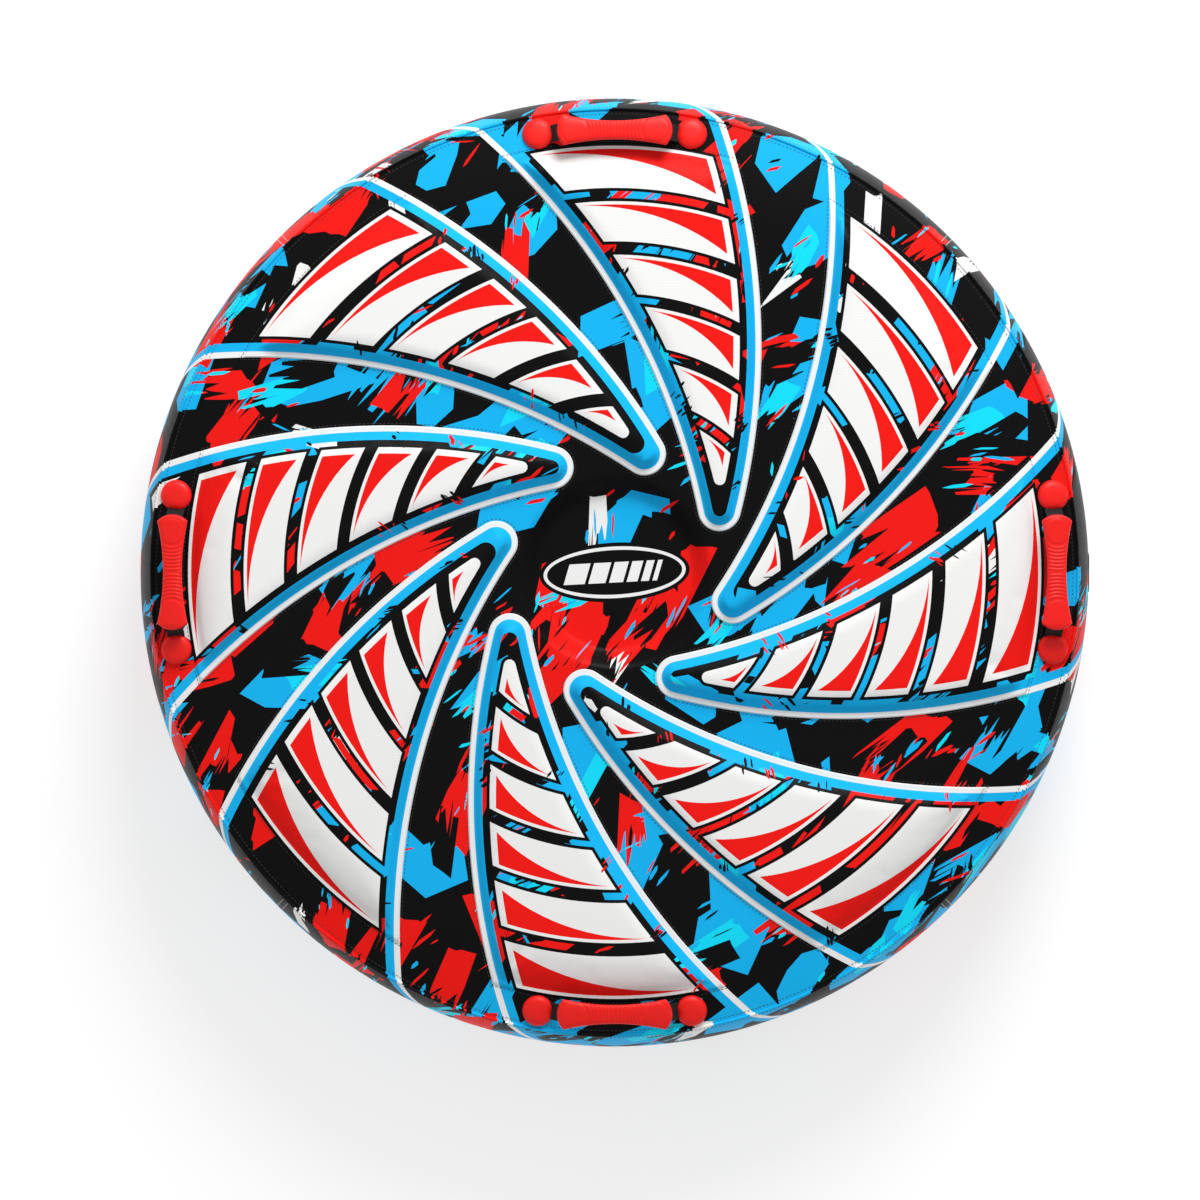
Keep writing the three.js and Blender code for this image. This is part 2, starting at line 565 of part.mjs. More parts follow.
function addTowPoint() {
  const patch = [TOUCH_GAP, TOUCH_GAP + 1.5];
  add('tow_patch', sector(sideStrip(30, 100, ...patch, 4), 84.5, 95.5), webbing);

  const loopRadius = 6;
  const holeRadius = 4.2;
  const nearOff = patch[1] + TOUCH_GAP;
  const bar = sidePoint(sideAngleAt(TOW_BAR_Z + 3), nearOff + loopRadius);
  const tail = new THREE.Shape();
  const [low, high] = [sideAngleAt(TOW_BAR_Z + 3), sideAngleAt(84)];
  tail.setFromPoints([...sideArc(low, high, nearOff, 3), ...sideArc(high, low, nearOff + 2.5, 3)]);
  // Sections of the loop are drawn in (away from the axis, up) and run across the tube.
  const across = (shape, width) => extrude(shape, width, { curveSegments: 8 })
    .translate(0, 0, -width / 2).rotateX(Math.PI / 2).rotateZ(Math.PI / 2);
  const disc = new THREE.Shape().absarc(bar.x, bar.y, loopRadius, 0, 2 * Math.PI, false);
  const hole = new THREE.Shape().absarc(bar.x, bar.y, holeRadius, 0, 2 * Math.PI, false);
  const loop = toSolid(across(disc, TOW_WEBBING_WIDTH)).add(toSolid(across(tail, TOW_WEBBING_WIDTH)))
    .subtract(toSolid(across(hole, TOW_WEBBING_WIDTH + 2)));
  add('tow_webbing', toGeometry(loop), webbing);

  const halfBar = TOW_RING_BAR / 2;
  const innerHalf = TOW_WEBBING_WIDTH / 2 + 0.6;
  const outerHalf = innerHalf + TOW_RING_BAR;
  const bowZ = -10;
  const ring = new THREE.Shape();
  ring.moveTo(-outerHalf, halfBar);
  ring.lineTo(-outerHalf, bowZ);
  ring.absarc(0, bowZ, outerHalf, Math.PI, 2 * Math.PI, false);
  ring.lineTo(outerHalf, halfBar);
  const eye = new THREE.Path();
  eye.moveTo(-innerHalf, -halfBar);
  eye.lineTo(-innerHalf, bowZ);
  eye.absarc(0, bowZ, innerHalf, Math.PI, 2 * Math.PI, false);
  eye.lineTo(innerHalf, -halfBar);
  ring.holes.push(eye);
  const dRing = extrude(ring, TOW_RING_BAR, { curveSegments: 8 }).rotateX(Math.PI / 2);
  add('tow_ring', dRing.translate(0, bar.x + halfBar, bar.y), steel);
}

addBladder();
addIBeams();
addCentreTie();
addValve();
addCover();
addDrainEyelets();
addBladePads();
addHandles();
addZip();
addTowPoint();

export default tube;
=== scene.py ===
"""A 48 inch towable deck tube: its printed covers, blade pads, handles, zip, valve and tow point.

Shapes are worked out in millimetres in the part's own frame (+Z out of the deck, +Y to the tow
point, -Y to the zip) and become metres when a mesh is made.
"""
import math

import bpy
import numpy as np
from mathutils import Matrix, Vector, geometry, kdtree
from mathutils.bvhtree import BVHTree


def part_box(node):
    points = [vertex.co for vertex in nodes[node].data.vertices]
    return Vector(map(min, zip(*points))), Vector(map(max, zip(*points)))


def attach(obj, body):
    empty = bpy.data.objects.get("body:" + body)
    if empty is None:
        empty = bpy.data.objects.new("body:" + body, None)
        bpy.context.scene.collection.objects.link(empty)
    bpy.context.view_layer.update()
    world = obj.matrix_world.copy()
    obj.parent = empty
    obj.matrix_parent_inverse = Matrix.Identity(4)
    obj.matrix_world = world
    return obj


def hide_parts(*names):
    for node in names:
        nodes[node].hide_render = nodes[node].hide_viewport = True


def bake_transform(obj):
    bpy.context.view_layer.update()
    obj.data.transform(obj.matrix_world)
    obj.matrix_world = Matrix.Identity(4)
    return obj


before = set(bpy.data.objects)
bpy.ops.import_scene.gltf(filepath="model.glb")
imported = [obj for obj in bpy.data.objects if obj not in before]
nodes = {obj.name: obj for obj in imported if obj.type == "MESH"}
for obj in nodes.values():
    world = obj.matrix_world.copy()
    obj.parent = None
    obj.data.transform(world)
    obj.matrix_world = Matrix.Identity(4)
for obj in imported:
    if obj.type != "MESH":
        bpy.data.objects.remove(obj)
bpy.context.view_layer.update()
MM = 0.001

# ---- Driving dimensions, the same as the frame's -------------------------------------------------

SIDE_RADIUS = 609.5
SIDE_BULGE_RADIUS = 188.0
CREASE_RADIUS = 591.0
CREASE_Z = 210.0
BASE_CREASE_RADIUS = 572.0
DECK_Z = 220.0
CROWN_START = 470.0
BASE_FLAT_RADIUS = 500.0
DISH_FLOOR_RADIUS = 96.0
DISH_EDGE_RADIUS = 125.0
DISH_FILLET = 3.5  # over which the dish's slope rounds into the floor and into the deck
DISH_DEPTH = 22.0
PIPING_RADIUS = 2.2
COVER_THICKNESS = 1.2

BLADE_COUNT = 8
BLADE_STEP = 360.0 / BLADE_COUNT
SWIRL_ARC_RADIUS = 879.6
SWIRL_ARC_OFFSET = 756.2
SWIRL_ARC_ANGLE = 157.46
BLADE_ANGLE = 30.0
BLADE_MARGIN = 6.0  # the white stripe, from the pad's foot to the white and cyan boundary
BLADE_NOSE_RADIUS = 27.5
PAD_THICKNESS = 16.0
PAD_FLANGE = 7.0  # of the pad's cover, sewn down flat under the white stripe
PAD_SLOPE = 13.5
PAD_TAPER_START = 512.0
PAD_END_RADIUS = 547.0

VALVE_HOLE_RADIUS = 24.0
EYELET_ANGLES = (262.0, 278.0)
EYELET_Z = 33.0
EYELET_HOLE_RADIUS = 4.4

# ---- The tube's surfaces -------------------------------------------------------------------------

SIDE_ARC_R = SIDE_RADIUS - SIDE_BULGE_RADIUS
SIDE_ARC_Z = CREASE_Z - math.sqrt(SIDE_BULGE_RADIUS**2 - (CREASE_RADIUS - SIDE_ARC_R) ** 2)
CREASE_ANGLE = math.asin((CREASE_Z - SIDE_ARC_Z) / SIDE_BULGE_RADIUS)
BASE_CREASE_ANGLE = -math.acos((BASE_CREASE_RADIUS - SIDE_ARC_R) / SIDE_BULGE_RADIUS)
BASE_CREASE_Z = SIDE_ARC_Z + SIDE_BULGE_RADIUS * math.sin(BASE_CREASE_ANGLE)
SIDE_LENGTH = SIDE_BULGE_RADIUS * (CREASE_ANGLE - BASE_CREASE_ANGLE)
SEAM_HALF_WIDTH = 1.6  # of the deck or the side, hidden under half of the piping
PRINT_RADIUS = CREASE_RADIUS + SIDE_LENGTH  # the flat artwork: the deck, then the side laid out


def smoothstep(x):
    x = np.clip(x, 0, 1)
    return x * x * (3 - 2 * x)


def once_round(count):
    """Evenly spaced angles round a full turn, in radians."""
    return 2 * np.pi * np.arange(count) / count


def bearing(point):
    """The direction of a flat point, seen from the axis, in radians."""
    return math.atan2(point[1], point[0])


def short_way(start, end):
    """The turn from one direction to another, the shorter way round."""
    return (end - start + math.pi) % (2 * math.pi) - math.pi


def eased_slope(x, low, high, fillet):
    """A straight rise from 0 at low to 1 at high, rounded at both ends."""

    def eased_ramp(distance):
        share = np.clip(distance / (2 * fillet), 0, 1)
        return fillet * share**2 + np.clip(distance - 2 * fillet, 0, None)

    run = high - low - 2 * fillet
    return (eased_ramp(x - low) - eased_ramp(x - high + 2 * fillet)) / run


def deck_z(r):
    rise = eased_slope(r, DISH_FLOOR_RADIUS, DISH_EDGE_RADIUS, DISH_FILLET)
    fall = np.clip((r - CROWN_START) / (CREASE_RADIUS - CROWN_START), 0, None)
    return DECK_Z - DISH_DEPTH * (1 - rise) - (DECK_Z - CREASE_Z) * fall**2


def deck_lean(r):
    fall = max(0.0, (r - CROWN_START) / (CREASE_RADIUS - CROWN_START))
    return math.atan(2 * (DECK_Z - CREASE_Z) * fall / (CREASE_RADIUS - CROWN_START))


def side_angle_at(z):
    return math.asin((z - SIDE_ARC_Z) / SIDE_BULGE_RADIUS)


def side_point(angle, stand_off=0.0):
    """(distance from the axis, height) at an angle on the side's bulge."""
    radius = SIDE_BULGE_RADIUS + stand_off
    return SIDE_ARC_R + radius * np.cos(angle), SIDE_ARC_Z + radius * np.sin(angle)


def side_point_at(z, stand_off=0.0):
    """The same, over the point of the side that has a given height."""
    return side_point(side_angle_at(z), stand_off)


def print_radius_at(z):
    """Where a height on the side lies on the flat artwork."""
    return CREASE_RADIUS + SIDE_BULGE_RADIUS * (CREASE_ANGLE - side_angle_at(z))


def lifted(flat):
    """Points of the flat artwork on the tube: on the deck, or wrapped down over the side."""
    r = np.hypot(flat[:, 0], flat[:, 1])
    on_side = r > CREASE_RADIUS
    radius, height = side_point(CREASE_ANGLE - (r - CREASE_RADIUS) / SIDE_BULGE_RADIUS)
    radius = np.where(on_side, radius, r)
    height = np.where(on_side, height, deck_z(r))
    scale = radius / np.maximum(r, 1e-6)
    return np.column_stack([flat[:, 0] * scale, flat[:, 1] * scale, height])


# ---- Making pieces -------------------------------------------------------------------------------

SHARP_EDGE_ANGLE = math.radians(50)


def piece_from(name, points, faces, materials, face_materials=None):
    """An object of points in millimetres; face_materials numbers the material of each face."""
    mesh = bpy.data.meshes.new(name)
    faces = [list(map(int, face)) for face in faces]
    mesh.from_pydata((np.asarray(points, float) * MM).tolist(), [], faces)
    for material in materials:
        mesh.materials.append(material)
    if face_materials is not None:
        mesh.polygons.foreach_set("material_index", np.asarray(face_materials, np.int32))
    mesh.polygons.foreach_set("use_smooth", [True] * len(mesh.polygons))
    mesh.update()
    made = bpy.data.objects.new(name, mesh)
    bpy.context.scene.collection.objects.link(made)
    return made


def finish_piece(made, body="root", replaced=()):
    """Gives a piece its body, and says which nodes it stands in for."""
    made.data.set_sharp_from_angle(angle=SHARP_EDGE_ANGLE)
    if replaced:
        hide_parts(*replaced)
    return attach(made, body)


def thicken(made):
    """Gives a sheet the cover's thickness, inwards."""
    modifier = made.modifiers.new("Thickness", "SOLIDIFY")
    modifier.thickness, modifier.offset = COVER_THICKNESS * MM, -1.0
    with bpy.context.temp_override(object=made, active_object=made, selected_objects=[made]):
        bpy.ops.object.modifier_apply(modifier=modifier.name)


class Builder:
    """Collects the solids of one piece: points in millimetres, and faces."""

    def __init__(self):
        self.points, self.faces, self.count = [], [], 0

    def add(self, points, faces, matrix=None):
        points = np.asarray(points, float)
        if matrix is not None:
            turn = np.array(matrix.to_3x3())
            points = points @ turn.T + np.array(matrix.translation)
        self.points.append(points)
        self.faces += [[int(i) + self.count for i in face] for face in faces]
        self.count += len(points)
        return self

    def piece(self, name, material):
        return piece_from(name, np.concatenate(self.points), self.faces, [material])

    def finish(self, name, material, slot, body="root", replaced=()):
        return finish_piece(self.piece(name, material), body, replaced)


def grid_faces(rows, columns, wrap_rows=False, wrap_columns=False):
    faces = []
    for i in range(rows if wrap_rows else rows - 1):
        for j in range(columns if wrap_columns else columns - 1):
            a, b = i * columns, (i + 1) % rows * columns
            k = (j + 1) % columns
            faces.append((a + j, b + j, b + k, a + k))
    return faces


def capped_faces(rows, columns):
    """A bar of closed rings, with a face at each end."""
    last = (rows - 1) * columns
    ends = [list(range(columns))[::-1], list(range(last, last + columns))]
    return grid_faces(rows, columns, False, True) + ends


TURNED_SEGMENTS = 48  # round a turned part


def revolved(profile, closed):
    """Points and faces of (r, z) points turned about Z; they run round a closed ring if closed."""
    turns = once_round(TURNED_SEGMENTS)
    r, z = np.asarray(profile, float).T
    x, y = np.outer(np.cos(turns), r), np.outer(np.sin(turns), r)
    points = np.stack([x, y, np.broadcast_to(z, x.shape)], -1).reshape(-1, 3)
    return points, grid_faces(len(turns), len(r), True, closed)


NOT_ALONG_ANY_PATH = (0.31, 0.17, 0.93)  # a direction to start a bar's cross-section from


def tube_along(path, radius, sides=8, closed=False):
    """A round bar along a path, in millimetres."""
    path = np.asarray(path, float)
    ahead = np.roll(path, -1, 0) - np.roll(path, 1, 0)
    if not closed:
        ahead[0], ahead[-1] = path[1] - path[0], path[-1] - path[-2]
    ahead /= np.linalg.norm(ahead, axis=1)[:, None]
    side = np.cross(ahead[0], NOT_ALONG_ANY_PATH)
    sides_at = []
    for step in ahead:
        side = side - step * np.dot(side, step)
        side /= np.linalg.norm(side)
        sides_at.append(side)
    side = np.array(sides_at)
    up = np.cross(ahead, side)
    turns = once_round(sides)[None, :, None]
    ring = side[:, None] * np.cos(turns) + up[:, None] * np.sin(turns)
    points = (path[:, None] + radius * ring).reshape(-1, 3)
    faces = grid_faces(len(path), sides, closed, True)
    if not closed:
        faces += [list(range(sides)), list(range(len(points) - sides, len(points)))[::-1]]
    return points, faces


def extruded(outline, low, high, bevel):
    """A prism of an (x, y) outline between two heights, with its edges bevelled."""
    outline = np.asarray(outline, float)
    centre = outline.mean(0)
    reach = np.linalg.norm(outline - centre, axis=1)[:, None]
    inner = centre + (outline - centre) * (1 - bevel / np.maximum(reach, bevel))
    layers = [(inner, low), (outline, low + bevel), (outline, high - bevel), (inner, high)]
    n = len(outline)
    points = np.concatenate([np.column_stack([xy, np.full(n, z)]) for xy, z in layers])
    faces = [[a, b, b + n, a + n] for layer in range(len(layers) - 1)
             for a, b in [(layer * n + i, layer * n + (i + 1) % n) for i in range(n)]]
    faces += [list(range(n))[::-1], list(range(len(points) - n, len(points)))]
    return points, faces


# ---- Materials -----------------------------------------------------------------------------------


class Finish:
    """A node material: a Principled shader with a bump and a roughness made from procedures."""

    def __init__(self, name, colour, roughness, **settings):
        self.material = bpy.data.materials.new(name)
        self.material.use_nodes = True
        self.tree = self.material.node_tree
        self.shader = self.tree.nodes["Principled BSDF"]
        self.shader.inputs["Base Color"].default_value = (*colour, 1)
        self.shader.inputs["Roughness"].default_value = roughness
        for key, value in settings.items():
            self.shader.inputs[key.replace("_", " ")].default_value = value
        self.coordinates = self.node("ShaderNodeTexCoord").outputs["Object"]

    def node(self, kind, links=(), **values):
        made = self.tree.nodes.new(kind)
        for key, value in values.items():
            if hasattr(made, key):
                setattr(made, key, value)
            else:
                made.inputs[key.replace("_", " ")].default_value = value
        for socket, source in dict(links).items():
            self.tree.links.new(source, made.inputs[socket])
        return made

    def noise(self, scale, detail=2.0):
        return self.node("ShaderNodeTexNoise", {"Vector": self.coordinates},
                         Scale=scale, Detail=detail).outputs["Fac"]

    def threads(self, direction, period):
        """Ridges across one axis, one for each period in metres."""
        return self.node("ShaderNodeTexWave", {"Vector": self.coordinates}, wave_type="BANDS",
                         bands_direction=direction, Scale=math.pi / (10 * period), Distortion=0.4,
                         Detail=0.0, Detail_Scale=1.0).outputs["Fac"]

    def mix(self, a, b):
        """The mean of two patterns."""
        total = self.node("ShaderNodeMath", {0: a, 1: b}, operation="ADD")
        half = self.node("ShaderNodeMath", {0: total.outputs[0]}, operation="MULTIPLY")
        half.inputs[1].default_value = 0.5
        return half.outputs[0]

    def varied_roughness(self, source, low, high):
        spread = self.node("ShaderNodeMapRange", {"Value": source}, To_Min=low, To_Max=high)
        self.tree.links.new(spread.outputs["Result"], self.shader.inputs["Roughness"])

    def bumped(self, source, depth, strength):
        bump = self.node("ShaderNodeBump", {"Height": source}, Strength=strength, Distance=depth)
        self.tree.links.new(bump.outputs["Normal"], self.shader.inputs["Normal"])


NYLON_THREAD = 0.0019  # in metres, from one thread to the next


def printed_nylon(name, colour, roughness=0.46):
    """Coated nylon cloth with one ink on it: a plain weave, with fine slubs."""
    made = Finish(name, colour, roughness, Specular_IOR_Level=0.08)
    weave = made.mix(made.threads("X", NYLON_THREAD), made.threads("Y", NYLON_THREAD))
    made.bumped(made.mix(weave, made.noise(520, 1.0)), 0.0006, 0.3)
    made.varied_roughness(made.noise(160), roughness - 0.07, roughness + 0.09)
    return made.material


def webbing_cloth(name, colour=(0.012, 0.012, 0.013), period=0.0022):
    made = Finish(name, colour, 0.72, Specular_IOR_Level=0.3)
    weave = made.mix(made.threads("DIAGONAL", period), made.noise(900, 1.0))
    made.bumped(weave, 0.0008, 0.7)
    made.varied_roughness(made.noise(300), 0.62, 0.84)
    return made.material


def moulding(name, colour, roughness):
    """Moulded plastic with a fine spark texture and soft handling marks."""
    made = Finish(name, colour, roughness, Specular_IOR_Level=0.28)
    made.bumped(made.mix(made.noise(1600, 2.0), made.noise(60, 3.0)), 0.00025, 0.35)
    made.varied_roughness(made.noise(45, 4.0), roughness - 0.07, roughness + 0.12)
    return made.material


def polished_steel(name, colour):
    made = Finish(name, colour, 0.2, Metallic=1.0)
    made.bumped(made.noise(700, 3.0), 0.00008, 0.4)
    made.varied_roughness(made.noise(90, 4.0), 0.13, 0.3)
    return made.material


def soft_pvc(name, colour):
    made = Finish(name, colour, 0.32, Specular_IOR_Level=0.5)
    made.bumped(made.mix(made.noise(35, 2.0), made.noise(500, 1.0)), 0.0008, 0.3)
    made.varied_roughness(made.noise(20, 3.0), 0.25, 0.42)
    return made.material


def thread(name, colour):
    made = Finish(name, colour, 0.55)
    made.bumped(made.threads("DIAGONAL", 0.0008), 0.0003, 0.6)
    made.varied_roughness(made.noise(800), 0.45, 0.65)
    return made.material


NEAR_BLACK = (0.014, 0.014, 0.015)
RED_COLOUR = (0.9, 0.01, 0.007)
BLACK, WHITE, CYAN, LIGHT_CYAN, RED = range(5)
INKS = [
    printed_nylon("ink_black", (0.0035, 0.0035, 0.0037), 0.4),
    printed_nylon("ink_white", (0.88, 0.88, 0.87)),
    printed_nylon("ink_cyan", (0.008, 0.46, 0.88)),
    printed_nylon("ink_light_cyan", (0.007, 0.72, 0.95)),
    printed_nylon("ink_red", RED_COLOUR),
]
BASE_CLOTH = printed_nylon("base_nylon", (0.012, 0.012, 0.013), 0.58)
PIPING_CLOTH = webbing_cloth("piping_cloth", (0.01, 0.01, 0.011), 0.003)
WEBBING = webbing_cloth("black_webbing")
ZIP_CLOTH = webbing_cloth("zip_cloth", NEAR_BLACK, 0.0012)
RED_MOULDING = moulding("red_moulding", RED_COLOUR, 0.42)
BLACK_MOULDING = moulding("black_moulding", NEAR_BLACK, 0.4)
STEEL = polished_steel("polished_steel", (0.62, 0.63, 0.64))
BLADDER_PVC = soft_pvc("bladder_pvc", (0.025, 0.068, 0.19))
WHITE_THREAD = thread("white_thread", (0.72, 0.72, 0.7))
BLACK_THREAD = thread("black_thread", (0.02, 0.02, 0.02))

# ---- The swirl's outlines, flat, seen from above -------------------------------------------------


def polar(r, theta):
    return np.column_stack([np.multiply(r, np.cos(theta)), np.multiply(r, np.sin(theta))])


def turned(points, degrees):
    c, s = math.cos(math.radians(degrees)), math.sin(math.radians(degrees))
    return np.asarray(points) @ np.array([[c, s], [-s, c]])


def edge_angle(r, arc_radius, turn=0.0):
    """The direction, seen from the axis, in which a swirl arc is at a distance r, in radians."""
    r = np.asarray(r, float)
    cosine = (SWIRL_ARC_OFFSET**2 + np.square(r) - arc_radius**2) / (2 * SWIRL_ARC_OFFSET * r)
    return math.radians(SWIRL_ARC_ANGLE + turn) - np.arccos(cosine)


def blade_side(second, inset, radii):
    """A line along one side of the first blade, a distance inside its edge arc."""
    radius = SWIRL_ARC_RADIUS + (inset if second else -inset)
    return polar(radii, edge_angle(radii, radius, BLADE_ANGLE if second else 0.0))


def nose_circle(inset, nose_radius):
    """Centre of the circle that touches both inset sides of the first blade, and where it does."""
    first, second = (polar(SWIRL_ARC_OFFSET, math.radians(SWIRL_ARC_ANGLE + turn))[0]
                     for turn in (0.0, BLADE_ANGLE))
    to_first = SWIRL_ARC_RADIUS - inset - nose_radius
    to_second = SWIRL_ARC_RADIUS + inset + nose_radius
    between = second - first
    span = np.linalg.norm(between)
    between /= span
    along = (span**2 + to_first**2 - to_second**2) / (2 * span)
    across = math.sqrt(to_first**2 - along**2)
    centre = first + along * between + across * np.array([-between[1], between[0]])
    touch_first = centre + nose_radius * (centre - first) / np.linalg.norm(centre - first)
    touch_second = centre + nose_radius * (second - centre) / np.linalg.norm(second - centre)
    return centre, touch_first, touch_second


OUTLINE_STEP = 8.0  # between the points of a blade's outline
PANEL_STEP = 9.0
CIRCLE_STEP = 7.0


def blade_path(inset, nose_radius, end_radius):
    """From the first edge's outer end, in along it, round the nose and out along the second edge."""
    centre, touch_first, touch_second = nose_circle(inset, nose_radius)
    sides = []
    for second, touch in ((False, touch_first), (True, touch_second)):
        start = np.linalg.norm(touch)
        count = max(2, int((end_radius - start) / OUTLINE_STEP))
        sides.append(blade_side(second, inset, np.linspace(start, end_radius, count)))
    a, b = (bearing(touch - centre) for touch in (touch_first, touch_second))
    sweep = (a - b) % (2 * math.pi)
    turns = a - np.linspace(0, sweep, max(6, int(sweep * nose_radius / 3)))[1:-1]
    return np.concatenate([sides[0][::-1], centre + nose_radius * polar(1.0, turns), sides[1]])


def rounded_end(path, end_radius):
    """Closes a blade's path along the circle through its two outer ends."""
    a, b = bearing(path[-1]), bearing(path[0])
    sweep = short_way(a, b)
    count = max(3, int(abs(sweep) * end_radius / OUTLINE_STEP))
    return np.concatenate([path, polar(end_radius, a + np.linspace(0, sweep, count)[1:-1])])


def blade_field(inset, nose_radius, end_radius):
    return rounded_end(blade_path(inset, nose_radius, end_radius), end_radius)


def blade_band(outer, inner, end_radius):
    """The band between two blade paths; each is given as (inset, nose radius)."""
    return np.concatenate([blade_path(*outer, end_radius), blade_path(*inner, end_radius)[::-1]])


def panel_outline(low, high, left, right):
    """A piece of the first blade between two distances from the axis and two insets."""
    radii = np.linspace(low, high, max(2, int((high - low) / PANEL_STEP)))
    a, b = blade_side(False, left, radii), blade_side(True, right, radii)
    corners = []
    for r, start, end in ((high, a[-1], b[-1]), (low, b[0], a[0])):
        sweep = short_way(bearing(start), bearing(end))
        count = max(3, int(abs(sweep) * r / PANEL_STEP))
        corners.append(polar(r, bearing(start) + sweep * np.linspace(0, 1, count)[1:-1]))
    return np.concatenate([a, corners[0], b[::-1], corners[1]])


PANEL_BANDS = ((228, 275), (291, 340), (355, 404), (421, 472), (489, 544))
PANEL_LEFT, PANEL_RIGHT = 22.0, 21.0  # insets of the white panels
FIRST_PANEL = (22.5, 7.5, 211.0)  # inset, nose radius and outer end of the small rounded panel
FIRST_WEDGE_START = 188.0
FRAME_WIDTH = 4.0  # of the black line round each panel
CYAN_START, CYAN_END = 1.6, 12.6  # insets of the cyan stripe's two borders
NOSE_REACH = BLADE_NOSE_RADIUS - BLADE_MARGIN  # inset and radius of the lines round a nose add to it


def wedge_outline(low, high):
    """The red wedge of a panel: full height at the left, with a hollow back, to a point."""
    top = low + 0.16 * (high - low)
    foot = high - 4.0
    hollow = low + 0.8 * (high - low)  # pulls the back of the wedge in
    front = blade_side(False, PANEL_LEFT + 8.0, np.linspace(top, foot, 6))
    tip = blade_side(True, PANEL_RIGHT + 5.0, np.array([foot]))[0]
    s = np.linspace(0, 1, 14)[1:]
    base = polar(foot, bearing(front[-1]) + short_way(bearing(front[-1]), bearing(tip)) * s)
    s = s[:-1]
    radii = (1 - s) ** 2 * foot + 2 * s * (1 - s) * hollow + s**2 * top
    back = polar(radii, bearing(tip) + short_way(bearing(tip), bearing(front[0])) * s)
    return np.concatenate([front, base, back])


# ---- The artwork: torn brush patches under the blades' panels ------------------------------------

ARTWORK_SEED = 20
BRUSH_HEADING = 48.0  # the strokes' usual direction, in degrees
HEADING_SPREAD = 22.0
PATCH_SPACING = 86.0
PATCH_JITTER = 26.0
ROW_PITCH = 0.866  # of a triangular lattice's rows, for a spacing of 1
WHITE_PATCHES_FROM = 400.0  # outside this radius more patches are white


def laid(local, centre, heading):
    """Points given along and across a stroke, put at its place."""
    return np.asarray(centre) + turned(local, heading)


def torn_patch(rng, centre, heading, length, width):
    """A stroke with one cut end and one end torn into fingers."""
    teeth = max(3, round(width / rng.uniform(5, 9)))
    edges = np.sort(np.append(rng.uniform(-0.5, 0.5, teeth * 3 - 2), [-0.5, 0.5])) * width
    ends = np.empty(len(edges))
    for tooth in range(teeth):
        tip = length * rng.uniform(0.45, 1.0)
        ends[3 * tooth:3 * tooth + 2] = tip * rng.uniform(0.9, 1.1, 2)[: len(ends) - 3 * tooth]
        if 3 * tooth + 2 < len(ends):
            ends[3 * tooth + 2] = tip * rng.uniform(0.3, 0.75)
    ends = ends[: len(edges)]
    slant = rng.uniform(-0.9, 0.9)
    steps = edges[::4]
    starts = -0.3 * length + slant * steps + rng.uniform(-0.05, 0.05, len(steps)) * length
    starts = np.minimum(starts, np.interp(steps, edges, ends) - 0.1 * length)
    local = np.concatenate([np.column_stack([starts, steps]),
                            np.column_stack([ends, edges])[::-1]])
    return laid(local, centre, heading)


def shard(rng, centre, heading, length, width):
    """A cut patch with a few straight sides and one long point."""
    count = rng.integers(5, 8)
    turns = np.sort((np.arange(count) + rng.uniform(-0.3, 0.3, count)) * 2 * np.pi / count)
    reach = rng.uniform(0.75, 1.1, count)
    reach[rng.integers(count)] *= 1.6
    local = np.column_stack([np.cos(turns) * length, np.sin(turns) * width]) * reach[:, None] / 2
    return laid(local, centre, heading)


def sliver(rng, centre, heading, length, width):
    along = np.array([-0.5, -0.2, 0.3, 0.5, 0.22, -0.3]) * length * rng.uniform(0.8, 1.2, 6)
    across = np.array([0.0, 0.5, 0.35, 0.05, -0.5, -0.4]) * width * rng.uniform(0.6, 1.2, 6)
    return laid(np.column_stack([along, across]), centre, heading)


def brush_layers(rng):
    """(outline, ink) pairs over the whole artwork, painted in this order."""
    spots = []
    row_step = PATCH_SPACING * ROW_PITCH
    rows = int(PRINT_RADIUS / row_step) + 1
    for i in range(-rows, rows + 1):
        for j in range(-rows, rows + 1):
            spot = np.array([(j + 0.5 * (i % 2)) * PATCH_SPACING, i * row_step])
            spot += rng.uniform(-PATCH_JITTER, PATCH_JITTER, 2)
            if np.hypot(*spot) < PRINT_RADIUS + 20:
                spots.append(spot)
    under, over, carved, bits = [], [], [], []
    for spot in spots:
        heading = BRUSH_HEADING + rng.normal(0, HEADING_SPREAD)
        heading += 180 if rng.random() < 0.5 else 0
        size = rng.uniform(0.75, 1.35)
        most = 0.88 if np.hypot(*spot) > WHITE_PATCHES_FROM else 0.80
        draw = rng.random()
        if draw < 0.34:
            under.append((shard(rng, spot, heading, 105 * size, 62 * size), CYAN))
            if rng.random() < 0.55:
                offset = laid([[18, 6]], spot, heading)[0]
                over.append((torn_patch(rng, offset, heading, 62 * size, 26 * size), LIGHT_CYAN))
        elif draw < 0.45:
            under.append((torn_patch(rng, spot, heading, 92 * size, 52 * size), CYAN))
        elif draw < 0.77:
            over.append((torn_patch(rng, spot, heading, 84 * size, 46 * size), RED))
        elif draw < most:
            over.append((torn_patch(rng, spot, heading, 62 * size, 24 * size), WHITE))
        if rng.random() < 0.62:
            offset = laid([rng.uniform(-40, 40, 2)], spot, heading)[0]
            carved.append((torn_patch(rng, offset, heading + rng.normal(0, 12),
                                      58 * size, 30 * size), BLACK))
        for _ in range(rng.integers(2, 6)):
            place = laid([rng.uniform((10, -30), (75, 30))], spot, heading)[0]
            ink = rng.choice([BLACK, RED, RED, CYAN, CYAN, LIGHT_CYAN])
            bits.append((sliver(rng, place, heading + rng.normal(0, 7),
                                rng.uniform(12, 40), rng.uniform(1.8, 6)), int(ink)))
    return under + over + carved + bits


